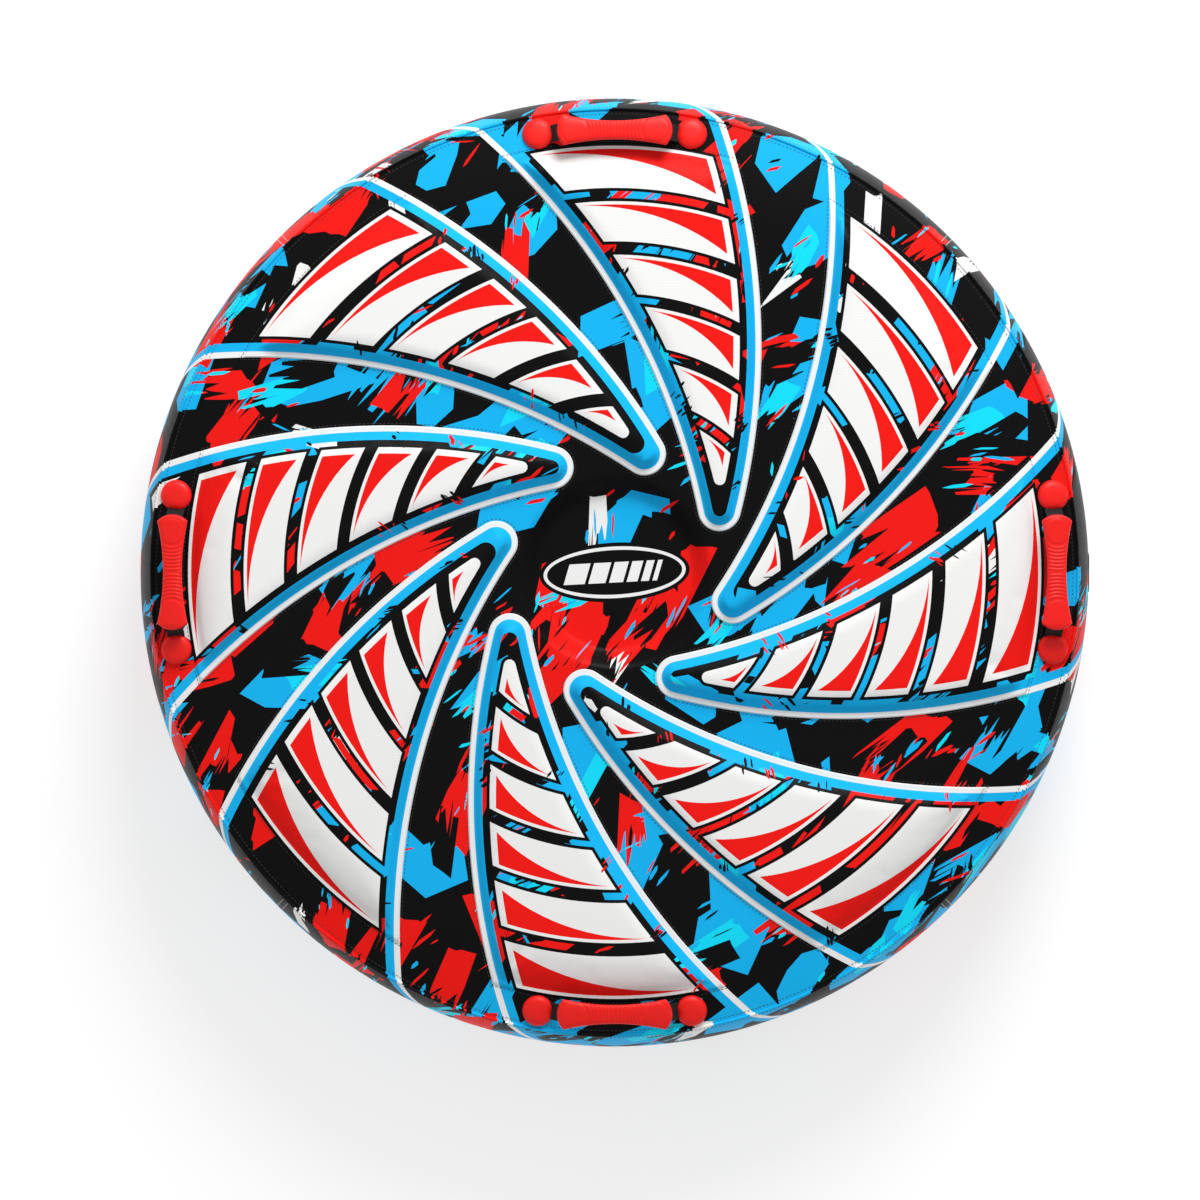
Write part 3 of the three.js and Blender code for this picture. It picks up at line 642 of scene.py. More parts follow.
def flecks(rng):
    """Torn specks over the cyan stripe's inner border, in small groups along the brush's way."""
    specks = []
    for _ in range(9):
        second = bool(rng.integers(2))
        place = blade_side(second, CYAN_END + rng.uniform(-2, 4), [rng.uniform(170, 540)])[0]
        heading = BRUSH_HEADING + rng.normal(0, 9)
        ink = int(rng.choice([BLACK, BLACK, RED]))
        for _ in range(rng.integers(2, 6)):
            spot = laid([rng.uniform((-9, -7), (9, 7))], place, heading)[0]
            outline = sliver(rng, spot, heading, rng.uniform(6, 17), rng.uniform(1.6, 4.5))
            specks.append((outline, ink))
    return specks


def gap_marks(rng):
    """Longer dashes of ink in some of the gaps between the panels."""
    marks = []
    clear = FRAME_WIDTH + 0.4
    ends = [FIRST_PANEL[2]] + [high for _, high in PANEL_BANDS]
    starts = [low for low, _ in PANEL_BANDS]
    for end, start in zip(ends, starts):
        low, high = end + clear, start - clear
        middle = [0.5 * (low + high)]
        t0, t1 = (bearing(blade_side(second, PANEL_LEFT, middle)[0]) for second in (False, True))
        if rng.random() < 0.5:
            cuts = t0 + (t1 - t0) * np.sort(rng.uniform(0, 1, 2))
            turns = np.linspace(cuts[0], cuts[1], 7)
            ink = int(rng.choice([RED, CYAN, BLACK]))
            top = polar(high, turns[::-1] + rng.uniform(-0.03, 0.03))
            marks.append((np.concatenate([polar(low, turns), top]), ink))
    return marks


def blade_layers(rng):
    """What is printed on and round the first blade, in the order it is painted."""
    inset, nose, end = FIRST_PANEL
    wide = FRAME_WIDTH
    layers = gap_marks(rng)
    layers.append((blade_field(inset - wide, nose + wide, end + wide), BLACK))
    for low, high in PANEL_BANDS:
        frame_line = panel_outline(low - wide, high + wide, PANEL_LEFT - wide, PANEL_RIGHT - wide)
        layers.append((frame_line, BLACK))
    layers.append((blade_field(*FIRST_PANEL), WHITE))
    layers.append((wedge_outline(FIRST_WEDGE_START, end), RED))
    for low, high in PANEL_BANDS:
        layers.append((panel_outline(low, high, PANEL_LEFT, PANEL_RIGHT), WHITE))
        layers.append((wedge_outline(low, high), RED))
    inner_nose = rng.choice([NOSE_REACH - CYAN_END, 10.5, 13.0])
    foot = (-BLADE_MARGIN, BLADE_NOSE_RADIUS)
    border = (CYAN_START, NOSE_REACH - CYAN_START)
    past_print = PRINT_RADIUS + 4
    layers.append((blade_band(border, (CYAN_END, inner_nose), past_print), CYAN))
    layers += flecks(rng)
    layers.append((blade_band(foot, border, past_print), WHITE))
    return layers


def emblem_layers():
    """A plain badge in the dish: an oval ring round slanted bars."""
    turns = np.radians(np.arange(0, 360, 5))
    narrower, tilt = 58, 3.0
    layers = [(np.column_stack([half * np.cos(turns), (half - narrower) * np.sin(turns)]), ink)
              for half, ink in ((96, BLACK), (91, WHITE), (86.5, BLACK))]
    left, gap, slant, half_height = -66.0, 4.5, 9, 13
    for width in (27, 22, 18, 14, 10, 6):
        right = left + width
        bar = np.array([(left, -half_height), (right, -half_height),
                        (right + slant, half_height), (left + slant, half_height)])
        layers.append((bar, WHITE))
        left = right + gap
    return [(turned(outline, tilt), ink) for outline, ink in layers]


def artwork():
    rng = np.random.default_rng(ARTWORK_SEED)
    layers = brush_layers(rng) + emblem_layers()
    for i in range(BLADE_COUNT):
        layers += [(turned(outline, i * BLADE_STEP), ink) for outline, ink in blade_layers(rng)]
    return layers


def inside(points, outline):
    """Even-odd test of many points against one outline."""
    x, y = points[:, 0][:, None], points[:, 1][:, None]
    ax, ay = outline[:, 0], outline[:, 1]
    bx, by = np.roll(ax, -1), np.roll(ay, -1)
    crosses = (ay > y) != (by > y)
    rise = np.where(by == ay, 1.0, by - ay)
    return (crosses & (x < (bx - ax) * (y - ay) / rise + ax)).sum(1) % 2 == 1


TESTED_AT_ONCE = 20000  # points, to keep the tables in memory small


def painted(points, layers):
    """The ink that shows at each point."""
    ink = np.full(len(points), BLACK)
    for outline, colour in layers:
        low, high = outline.min(0), outline.max(0)
        near = np.flatnonzero(((points >= low) & (points <= high)).all(1))
        for part in np.array_split(near, max(1, len(near) // TESTED_AT_ONCE)):
            ink[part[inside(points[part], outline)]] = colour
    return ink


# ---- One flat mesh for all of the artwork --------------------------------------------------------


def triangulated(points, edges):
    """A flat triangle mesh that keeps the given edges."""
    made = geometry.delaunay_2d_cdt([Vector(p) for p in points], edges, [], 0, 1e-4, False)
    spots, _, triangles = made[:3]
    return np.array([tuple(v) for v in spots]), np.array([tuple(f) for f in triangles])


def outline_edges(outlines, closed=True):
    points, edges, count = [], [], 0
    for outline in outlines:
        n = len(outline)
        points.append(outline)
        edges += [(count + i, count + (i + 1) % n) for i in range(n if closed else n - 1)]
        count += n
    return np.concatenate(points), edges


def neighbouring(triangles):
    """Each inner edge of a mesh, and the two triangles beside it."""
    sides = np.concatenate([triangles[:, [0, 1]], triangles[:, [1, 2]], triangles[:, [2, 0]]])
    owners = np.tile(np.arange(len(triangles)), 3)
    sides = np.sort(sides, 1)
    order = np.lexsort((sides[:, 1], sides[:, 0]))
    sides, owners = sides[order], owners[order]
    same = (sides[1:] == sides[:-1]).all(1)
    return sides[1:][same], owners[:-1][same], owners[1:][same]


def visible_borders(layers):
    """The lines where one ink meets another, as points and edges."""
    limit = polar(PRINT_RADIUS + 30, np.radians(np.arange(0, 360, 3)))
    points, edges = outline_edges([limit] + [outline for outline, _ in layers])
    points, triangles = triangulated(points, edges)
    ink = painted(points[triangles].mean(1), layers)
    sides, first, second = neighbouring(triangles)
    kept = sides[ink[first] != ink[second]]
    used, renumbered = np.unique(kept, return_inverse=True)
    return points[used], renumbered.reshape(-1, 2).tolist()


def circle(radius):
    return polar(radius, once_round(max(24, int(2 * math.pi * radius / CIRCLE_STEP))))


def side_hole(angle, z, radius):
    """A round hole in the side, where it lies on the flat artwork."""
    centre = print_radius_at(z)
    stretch = centre / float(side_point_at(z)[0])
    turns = np.radians(np.arange(0, 360, 12))
    local = np.column_stack([centre + radius * np.cos(turns), radius * stretch * np.sin(turns)])
    return turned(local, angle)


PAD_FORM_INSETS = (-4.5, -1.5, 0.8, 3.0, 5.5, 8.0, 10.5, 13.5)  # over the flange and slope


def pad_form_line(inset):
    """A line round the first blade's pad, a distance inside its white and cyan boundary."""
    return blade_field(inset, NOSE_REACH - inset, PAD_END_RADIUS - BLADE_MARGIN - inset)


def line_tree(points, edges, spacing):
    """A tree of closely spaced points along lines, to measure distances to them."""
    dense = []
    for a, b in points[np.asarray(edges)]:
        steps = int(np.linalg.norm(b - a) / spacing) + 2
        dense.append(a + (b - a) * np.linspace(0, 1, steps)[:, None])
    dense = np.concatenate(dense)
    tree = kdtree.KDTree(len(dense))
    for i, (x, y) in enumerate(dense):
        tree.insert((x, y, 0), i)
    tree.balance()
    return tree


def distances(tree, spots):
    return np.array([tree.find((x, y, 0))[2] for x, y in spots])


DECK_END = CREASE_RADIUS - SEAM_HALF_WIDTH
SIDE_START = CREASE_RADIUS + SEAM_HALF_WIDTH
SIDE_END = PRINT_RADIUS - SEAM_HALF_WIDTH
DISH_PIECE_RADIUS = 148.0
SIDE_SEAMS = (45.0, 135.0, 225.0, 315.0)
DISH_SLOPE_RADII = (99, 103, 111, 118, 122)
LATTICE = 6.5  # spacing of the points between the lines
LATTICE_MARGIN = 2.6  # left clear beside a line
pad_foot = blade_field(-BLADE_MARGIN, BLADE_NOSE_RADIUS, PAD_END_RADIUS)
holes = [side_hole(0.0, SIDE_ARC_Z, VALVE_HOLE_RADIUS)]
holes += [side_hole(angle, EYELET_Z, EYELET_HOLE_RADIUS) for angle in EYELET_ANGLES]


def form_lines():
    """Lines that the shapes need: seams, the dish, the pads' feet and the slopes of their edges."""
    closed = [circle(r) for r in (DISH_FLOOR_RADIUS, *DISH_SLOPE_RADII, DISH_EDGE_RADIUS,
                                  DISH_PIECE_RADIUS, DECK_END, SIDE_START, SIDE_END)]
    closed += holes
    opened = []
    past_pads = np.linspace(PAD_END_RADIUS, DECK_END, 7)
    for i in range(BLADE_COUNT):
        closed.append(turned(pad_foot, i * BLADE_STEP))
        closed += [turned(pad_form_line(inset), i * BLADE_STEP) for inset in PAD_FORM_INSETS]
        turn = math.radians(i * BLADE_STEP + BLADE_ANGLE / 2)
        opened.append(polar(past_pads, edge_angle(past_pads, SWIRL_ARC_RADIUS) + turn))
    for angle in SIDE_SEAMS:
        opened.append(polar(np.linspace(SIDE_START, SIDE_END, 32), math.radians(angle)))
    a_points, a_edges = outline_edges(closed)
    b_points, b_edges = outline_edges(opened, closed=False)
    shifted = [(i + len(a_points), j + len(a_points)) for i, j in b_edges]
    return np.concatenate([a_points, b_points]), a_edges + shifted


def lattice_points(lines, edges):
    """Points on a triangular lattice that keep clear of all the lines."""
    tree = line_tree(lines, edges, 1.6)
    rows = int((PRINT_RADIUS + 10) / (LATTICE * ROW_PITCH))
    i, j = np.meshgrid(np.arange(-rows, rows + 1), np.arange(-rows, rows + 1), indexing="ij")
    x, y = (j + 0.5 * (i % 2)) * LATTICE, i * LATTICE * ROW_PITCH
    spots = np.column_stack([x.ravel(), y.ravel()])
    spots = spots[np.hypot(*spots.T) < PRINT_RADIUS + 8]
    return spots[distances(tree, spots) > LATTICE_MARGIN]


def print_mesh():
    """The flat artwork: points, triangles, each one's ink and centre, and the painted layers."""
    layers = artwork()
    borders, border_edges = visible_borders(layers)
    forms, form_edges = form_lines()
    lines = np.concatenate([borders, forms])
    edges = [tuple(edge) for edge in border_edges]
    edges += [(i + len(borders), j + len(borders)) for i, j in form_edges]
    points, triangles = triangulated(np.concatenate([lines, lattice_points(lines, edges)]), edges)
    centres = points[triangles].mean(1)
    return points, triangles, painted(centres, layers), centres, layers


# ---- Blade pads: a cloth simulation gives their crown --------------------------------------------

FLANGE_HEIGHT = 2.4
FLANGE_EDGE = 2.5  # over which the flange rises from the deck
SLOPE_FILLET = 2.2
LEAST_TAPER = 0.12  # of the foam's height, left at the pad's outer end
PAD_CLEARANCE = 0.3  # between the deck and a pad's underside
PAD_LATTICE = 7.5
SWELL_LIMIT = 4.0  # how far the cloth may rise over the foam
SWELL_FRAMES = 20
ON_RIM = 0.05  # a point nearer to the foot line than this lies on it


def pad_blank():
    """A coarse pad, seen from above: the first blade, cut flat."""
    tree = line_tree(*outline_edges([pad_foot]), 0.8)
    lines, edges = outline_edges([pad_foot] + [pad_form_line(inset) for inset in PAD_FORM_INSETS])
    low, high = pad_foot.min(0), pad_foot.max(0)
    x, y = np.meshgrid(np.arange(low[0], high[0], PAD_LATTICE),
                       np.arange(low[1], high[1], PAD_LATTICE * ROW_PITCH))
    x = x + (np.arange(len(x)) % 2)[:, None] * PAD_LATTICE / 2
    spots = np.column_stack([x.ravel(), y.ravel()])
    spots = spots[inside(spots, pad_foot)]
    spots = spots[distances(line_tree(lines, edges, 2.0), spots) > 3.4]
    points, triangles = triangulated(np.concatenate([lines, spots]), edges)
    return points, triangles[inside(points[triangles].mean(1), pad_foot)], tree


def foam_height(points, distance):
    """How far the pad stands over the deck: a flat flange round the foot, then the foam's slope."""
    radius = np.hypot(points[:, 0], points[:, 1])
    flange = FLANGE_HEIGHT * np.sqrt(1 - (1 - np.clip(distance / FLANGE_EDGE, 0, 1)) ** 2)
    slope = eased_slope(distance, PAD_FLANGE, PAD_FLANGE + PAD_SLOPE, SLOPE_FILLET)
    taper = smoothstep((PAD_END_RADIUS - radius) / (PAD_END_RADIUS - PAD_TAPER_START))
    share = LEAST_TAPER + (1 - LEAST_TAPER) * taper
    return flange + (PAD_THICKNESS - FLANGE_HEIGHT) * slope * share


def simulated_pad():
    """The crowned pad of the first blade, as a tree to look heights up in, in millimetres."""
    points, triangles, tree = pad_blank()
    count = len(points)
    foot = deck_z(np.hypot(points[:, 0], points[:, 1])) + PAD_CLEARANCE
    distance = distances(tree, points)
    top = np.column_stack([points, foot + foam_height(points, distance)])
    rim = set(np.flatnonzero(distance < ON_RIM).tolist())
    top[list(rim), 2] = foot[list(rim)]
    below = {i: (i if i in rim else count + i) for i in range(count)}
    bottom = np.column_stack([points, foot])
    faces = triangles.tolist() + [[below[i] for i in face[::-1]] for face in triangles.tolist()]
    blank = piece_from("pad_blank", np.concatenate([top, bottom]), faces, [])
    pinned = blank.vertex_groups.new(name="sewn")
    held = np.flatnonzero(distance < PAD_FLANGE).tolist() + list(range(count, 2 * count))
    pinned.add(held, 1.0, "REPLACE")
    cloth = blank.modifiers.new("Cloth", "CLOTH")
    settings = cloth.settings
    settings.vertex_group_mass = "sewn"
    settings.use_pressure, settings.uniform_pressure_force = True, 4.0
    settings.tension_stiffness = settings.compression_stiffness = 18
    settings.shear_stiffness = 8
    settings.effector_weights.gravity = 0
    cloth.point_cache.frame_start, cloth.point_cache.frame_end = 1, SWELL_FRAMES
    for frame_number in range(1, SWELL_FRAMES + 1):
        bpy.context.scene.frame_set(frame_number)
    evaluated = blank.evaluated_get(bpy.context.evaluated_depsgraph_get())
    swollen = np.array([v.co for v in evaluated.data.vertices])[:count] / MM
    bpy.data.objects.remove(blank)
    bpy.context.scene.frame_set(1)
    risen = np.clip(swollen - top, -SWELL_LIMIT, SWELL_LIMIT)
    risen *= smoothstep((distance - PAD_FLANGE) / PAD_SLOPE)[:, None]
    return BVHTree.FromPolygons((top + risen).tolist(), triangles.tolist())


def height_on(tree, points):
    """Heights of a simulated form over flat points."""
    heights = []
    for x, y in points:
        hit = tree.ray_cast(Vector((x, y, 500)), Vector((0, 0, -1)))[0]
        if hit is None:
            hit = tree.find_nearest(Vector((x, y, DECK_Z)))[0]
        heights.append(hit.z)
    return np.array(heights)


def compact(points, triangles):
    used, renumbered = np.unique(triangles, return_inverse=True)
    return points[used], renumbered.reshape(-1, 3)


def border_loop(triangles):
    """The points round the outside of a mesh with one border, in the faces' own order."""
    sides = {(a, b) for f in triangles.tolist() for a, b in zip(f, f[1:] + f[:1])}
    following = {a: b for a, b in sides if (b, a) not in sides}
    start = next(iter(following))
    loop = [start]
    while following[loop[-1]] != start:
        loop.append(following[loop[-1]])
    return loop


def inks_of(ink, kept):
    """The inks of some faces, numbered among the inks that the piece has."""
    used, numbered = np.unique(ink[kept], return_inverse=True)
    return [INKS[i] for i in used], numbered


def add_blade_pads(points, triangles, ink, centres):
    tree = simulated_pad()
    for i in range(BLADE_COUNT):
        mine = inside(centres, turned(pad_foot, i * BLADE_STEP))
        flat, faces = compact(points, triangles[mine])
        local = turned(flat, -i * BLADE_STEP)
        top = np.column_stack([flat, height_on(tree, local)])
        loop = border_loop(faces)
        top[loop, 2] = deck_z(np.hypot(*flat[loop].T)) + PAD_CLEARANCE
        materials, numbers = inks_of(ink, mine)
        pad = piece_from(f"blade_pad_{i + 1}_cover", top, faces.tolist() + [loop[::-1]],
                         materials, np.append(numbers, 0))
        finish_piece(pad, replaced=(f"blade_pad_{i + 1}",))


# ---- The printed cover round the pads ------------------------------------------------------------


def add_printed_cover(points, triangles, ink, centres):
    r = np.hypot(*centres.T)
    theta = np.degrees(np.arctan2(centres[:, 1], centres[:, 0]))
    swirl = np.degrees(edge_angle(np.clip(r, 130, PRINT_RADIUS), SWIRL_ARC_RADIUS))
    under_pad = np.zeros(len(r), bool)
    for i in range(BLADE_COUNT):
        under_pad |= inside(centres, turned(pad_foot, i * BLADE_STEP))
    in_hole = np.zeros(len(r), bool)
    for hole in holes:
        in_hole |= inside(centres, hole)
    deck = (r < DECK_END) & ~under_pad
    side = (r > SIDE_START) & (r < SIDE_END) & ~in_hole
    valley = ((theta - swirl - BLADE_ANGLE / 2) % 360 // BLADE_STEP).astype(int)
    quarter = ((theta - SIDE_SEAMS[0]) % 360 // 90).astype(int)
    valleys = deck & (r > DISH_PIECE_RADIUS)
    deck_parts = [("deck_dish", deck & (r < DISH_PIECE_RADIUS))]
    deck_parts += [(f"deck_valley_{k + 1}", valleys & (valley == k)) for k in range(BLADE_COUNT)]
    side_parts = [(f"side_panel_{k + 1}", side & (quarter == k)) for k in range(len(SIDE_SEAMS))]
    for parts, slot, node in ((deck_parts, "deck_print", "top_cover"),
                              (side_parts, "side_print", "side_gusset")):
        for name, kept in parts:
            flat, faces = compact(points, triangles[kept])
            materials, numbers = inks_of(ink, kept)
            sheet = piece_from(name, lifted(flat), faces.tolist(), materials, numbers)
            thicken(sheet)
            finish_piece(sheet, replaced=(node,))


# ---- Handles -------------------------------------------------------------------------------------

HANDLE_RADIUS = 559.0
ANCHOR_HALF_SPACING = 98.0
ANCHOR_RADIUS = 19.8
ANCHOR_HEIGHT = 8.5
ANCHOR_FLAT = 18.2  # from an anchor's middle to its flat side
GRIP_CORNER = 65.0  # from the grip's middle to the corners of its rounded ends
GRIP_TIP = 73.5
GRIP_HALF_WIDTH = 19.5
GRIP_HALF_WAIST = 12.0
GRIP_LOW = 22.0
GRIP_HIGH = 35.0
STRAP_HALF_WIDTH = 11.0
STRAP_THICKNESS = 2.2


def deck_station(angle, radius):
    """A place on the deck: +X away from the axis, +Y round the tube, +Z out of the deck."""
    return (Matrix.Rotation(math.radians(angle), 4, "Z")
            @ Matrix.Translation((radius, 0, float(deck_z(radius))))
            @ Matrix.Rotation(deck_lean(radius), 4, "Y"))


def side_station(angle, z, stand_off):
    """A place on the side: +X out of the surface, +Y round the tube, +Z up along the surface."""
    lean = side_angle_at(z)
    radius, height = side_point(lean, stand_off)
    return (Matrix.Rotation(math.radians(angle), 4, "Z") @ Matrix.Translation((radius, 0, height))
            @ Matrix.Rotation(-lean, 4, "Y"))


def grip_half_width(y):
    t = (np.clip(y, -GRIP_CORNER, GRIP_CORNER) + GRIP_CORNER) / (2 * GRIP_CORNER)
    control = 2 * GRIP_HALF_WAIST - GRIP_HALF_WIDTH
    bow = GRIP_HALF_WIDTH * ((1 - t) ** 2 + t**2) + 2 * t * (1 - t) * control
    rise = GRIP_TIP - GRIP_CORNER
    end_radius = (GRIP_HALF_WIDTH**2 + rise**2) / (2 * rise)
    left = np.clip(GRIP_TIP - np.abs(y), 0, rise)
    return np.minimum(bow, np.sqrt(end_radius**2 - (end_radius - left) ** 2))


def grip_relief(x, y):
    """Raised round lobes at the grip's ends and fine ribs between, concentric with the lobes."""
    lobe_centre, lobe_radius = 52.0, 16.5
    rib_pitch, rib_height, ribs_end = 4.6, 0.5, 37.0
    distance = np.hypot(x, np.abs(y) - lobe_centre)
    lobe = 0.35 * smoothstep((lobe_radius - distance) / 2.0)
    groove = -0.4 * np.exp(-(((distance - lobe_radius - 0.8) / 1.1) ** 2))
    among_ribs = smoothstep((ribs_end - np.abs(y)) / 3) * smoothstep((distance - lobe_radius - 1) / 2)
    ribs = rib_height * np.cos(2 * np.pi * (distance - lobe_radius) / rib_pitch) * among_ribs
    return lobe + groove + ribs - 0.4


def grip_solid():
    """One closed skin, round each station along the grip, with a point at each tip."""
    rows = np.concatenate([[-GRIP_TIP + 0.05], np.linspace(-GRIP_TIP + 0.5, GRIP_TIP - 0.5, 190),
                           [GRIP_TIP - 0.05]])
    turns = once_round(44)
    middle, half = 0.5 * (GRIP_LOW + GRIP_HIGH), 0.5 * (GRIP_HIGH - GRIP_LOW)

    def squared(v, power):
        return np.sign(v) * np.abs(v) ** power

    points = []
    for y in rows:
        past = max(0.0, (abs(y) - GRIP_CORNER) / (GRIP_TIP - GRIP_CORNER))
        x = grip_half_width(y) * squared(np.cos(turns), 0.8)
        lift = squared(np.sin(turns), 0.55)
        thick = half * (1 - past**3) ** 0.5
        relief = np.where(lift > 0.3, grip_relief(x, y) * (1 - past**2), 0)
        z = middle + lift * (thick + relief - 0.4)
        points.append(np.column_stack([x, np.full(len(x), y), z]))
    return np.concatenate(points), [face[::-1] for face in capped_faces(len(rows), len(turns))]


def smooth_line(points, count):
    """A Catmull-Rom line through given points."""
    points = np.asarray(points, float)
    extended = np.vstack([2 * points[0] - points[1], points, 2 * points[-1] - points[-2]])
    t = np.linspace(0, len(points) - 1 - 1e-9, count)
    i = t.astype(int)
    u = (t - i)[:, None]
    p0, p1, p2, p3 = (extended[i + k] for k in range(4))
    return 0.5 * (2 * p1 + (p2 - p0) * u + (2 * p0 - 5 * p1 + 4 * p2 - p3) * u**2
                  + (3 * p1 - p0 - 3 * p2 + p3) * u**3)


def flat_strap(path, half_width, thickness, ridge=0.12):
    """A webbing strap along a line of (y, z) points, its width along X, ridged at its edges."""
    path = np.asarray(path, float)
    ahead = np.gradient(path, axis=0)
    ahead /= np.linalg.norm(ahead, axis=1)[:, None]
    normal = np.column_stack([-ahead[:, 1], ahead[:, 0]])
    across = half_width * np.array([-1, -0.93, -0.86, -0.6, -0.3, 0, 0.3, 0.6, 0.86, 0.93, 1])
    swell = ridge * np.array([0, 1.6, 0.2, 0.6, 0.2, 0.6, 0.2, 0.6, 0.2, 1.6, 0])
    ring_x = np.concatenate([across, across[::-1]])
    ring_off = np.concatenate([0.5 * thickness + swell, -0.5 * thickness - swell[::-1]])
    points = np.empty((len(path), len(ring_x), 3))
    points[..., 0] = ring_x
    points[..., 1:] = path[:, None] + normal[:, None] * ring_off[None, :, None]
    return points.reshape(-1, 3), capped_faces(len(path), len(ring_x))


def anchor_solid():
    """A domed disc, cut slightly flat towards +Y, with a moulded lip round its foot."""
    profile = smooth_line([(ANCHOR_RADIUS, 0.6), (ANCHOR_RADIUS, 2.4), (19.0, 3.6), (17.9, 5.4),
                           (14.5, 7.6), (9.0, 8.8), (3.0, ANCHOR_HEIGHT + 0.6),
                           (0.2, ANCHOR_HEIGHT + 0.65)], 24)
    turns = once_round(64)
    flat = np.minimum(1.0, ANCHOR_FLAT / (ANCHOR_RADIUS * np.maximum(np.sin(turns), 0.3)))
    points = [(r * math.cos(t) * f, r * math.sin(t) * f, z) for r, z in profile
              for t, f in zip(turns, flat)]
    return points, capped_faces(len(profile), len(turns))


def add_handles():
    anchor_radius = math.hypot(HANDLE_RADIUS, ANCHOR_HALF_SPACING)
    anchor_turn = math.degrees(math.atan2(ANCHOR_HALF_SPACING, HANDLE_RADIUS))
    route = smooth_line([(ANCHOR_HALF_SPACING - 4, 2.0), (86, 2.0), (80, 3.0), (76.2, 7.6),
                         (72.5, 13.6), (67, 18.6), (59, 20.3), (30, 20.4), (0.15, 20.4)], 64)
    for i in range(4):
        angle = 90.0 * (i + 1)
        body = f"handle_{i + 1}"
        station = deck_station(angle, HANDLE_RADIUS)
        grip = Builder().add(*grip_solid(), station)
        grip.finish(f"{body}_grip_moulding", RED_MOULDING, "red_moulding", body, (f"{body}_grip",))
        for side, sign in (("left", 1), ("right", -1)):
            place = deck_station(angle + sign * anchor_turn, anchor_radius)
            facing = Matrix.Rotation(math.pi if sign > 0 else 0.0, 4, "Z")
            anchor = Builder().add(*anchor_solid(), place @ facing)
            anchor.finish(f"{body}_anchor_{side}_disc", RED_MOULDING, "red_moulding",
                          replaced=(f"{body}_anchor_{side}",))
            points, faces = flat_strap(route, STRAP_HALF_WIDTH, STRAP_THICKNESS)
            points[:, 1] *= sign
            if sign < 0:
                faces = [face[::-1] for face in faces]
            webbing = Builder().add(points, faces, station).piece(f"{body}_strap_{side}", WEBBING)
            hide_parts(f"{body}_strap")
            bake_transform(webbing)


# ---- Piping, base and stitching ------------------------------------------------------------------


def add_piping(name, radius, z, replaced, layers=()):
    """Cloth-covered cord sewn into a seam, slightly puckered between the stitches. It is cut from
    the same printed cloth as the deck where layers are given."""
    puckers = 360
    count = 3 * puckers
    turns, ring = once_round(count), once_round(10)
    cord_radius = (PIPING_RADIUS + 0.12 * np.cos(turns * puckers))[:, None]
    r = radius + cord_radius * np.cos(ring)
    height = z + cord_radius * np.sin(ring)
    points = np.stack([r * np.cos(turns)[:, None], r * np.sin(turns)[:, None], height], -1)
    faces = [f[::-1] for f in grid_faces(count, len(ring), True, True)]
    materials, numbers = [PIPING_CLOTH], None
    if layers:
        across = np.cos(ring + math.pi / len(ring)) * PIPING_RADIUS
        places = polar(radius + np.tile(across, count), np.repeat(turns, len(ring)))
        materials, numbers = inks_of(painted(places, layers), slice(None))
    cord = piece_from(name, points.reshape(-1, 3), faces, materials, numbers)
    finish_piece(cord, replaced=(replaced,))


def base_z(r):
    rise = np.clip((r - BASE_FLAT_RADIUS) / (BASE_CREASE_RADIUS - BASE_FLAT_RADIUS), 0, None)
    return BASE_CREASE_Z * rise**2


BASE_DISC_RADIUS = 180.0


def base_skin_z(r, theta):
    """The underside's height, with its seams pressed in: round the disc and between the gores."""
    from_seam = np.abs(np.degrees(theta) % 90 - SIDE_SEAMS[0]) * r * np.pi / 180
    groove = 0.7 * np.exp(-((from_seam / 4) ** 2)) * (r > BASE_DISC_RADIUS)
    groove = groove + 0.8 * np.exp(-(((r - BASE_DISC_RADIUS) / 3) ** 2))
    return base_z(r) + groove * np.clip((BASE_FLAT_RADIUS + 60 - r) / 60, 0, 1) + 0.02


def add_base():
    """The plain underside: four gores round a disc, with the seams pressed in."""
    seam, rim_radius = BASE_DISC_RADIUS, BASE_CREASE_RADIUS - SEAM_HALF_WIDTH
    radii = np.concatenate([[2], np.linspace(12, seam - 8, 17), seam + np.arange(-4, 5, 2),
                            np.linspace(seam + 10, BASE_FLAT_RADIUS, 32),
                            np.linspace(BASE_FLAT_RADIUS + 8, rim_radius, 9)])
    turns = np.radians(np.arange(0, 360, 1.0))
    r, t = np.meshgrid(radii, turns, indexing="ij")
    outer = np.stack([r * np.cos(t), r * np.sin(t), base_skin_z(r, t)], -1)
    inner = outer + np.array([0, 0, COVER_THICKNESS])
    n = len(turns)
    shell = grid_faces(len(radii), n, False, True)
    total = len(radii) * n
    faces = [f[::-1] for f in shell] + [[i + total for i in f] for f in shell]
    rim, centre = (len(radii) - 1) * n, list(range(n))
    faces += [[rim + i, rim + (i + 1) % n, total + rim + (i + 1) % n, total + rim + i]
              for i in range(n)]
    faces += [centre, [i + total for i in centre[::-1]]]
    points = np.concatenate([outer.reshape(-1, 3), inner.reshape(-1, 3)])
    base = piece_from("base_cover_cloth", points, faces, [BASE_CLOTH])
    finish_piece(base, replaced=("base_cover",))


# A stitch: its sections (how far along it, how wide, how high) and the points of each (off, up).
STITCH_SECTIONS = ((0, 0.25, 0.0), (0.2, 1, 0.85), (0.5, 1, 1), (0.8, 1, 0.85), (1, 0.25, 0.0))
STITCH_POINTS = ((-0.5, 0.0), (-0.32, 0.8), (0, 1.0), (0.32, 0.8), (0.5, 0.0))
STITCH_FOOT = [0, 1, 2, 3, 4, 9, 14, 19, 24, 23, 22, 21, 20, 15, 10, 5]  # its outline, closed below
STITCH_SUNK = 0.1


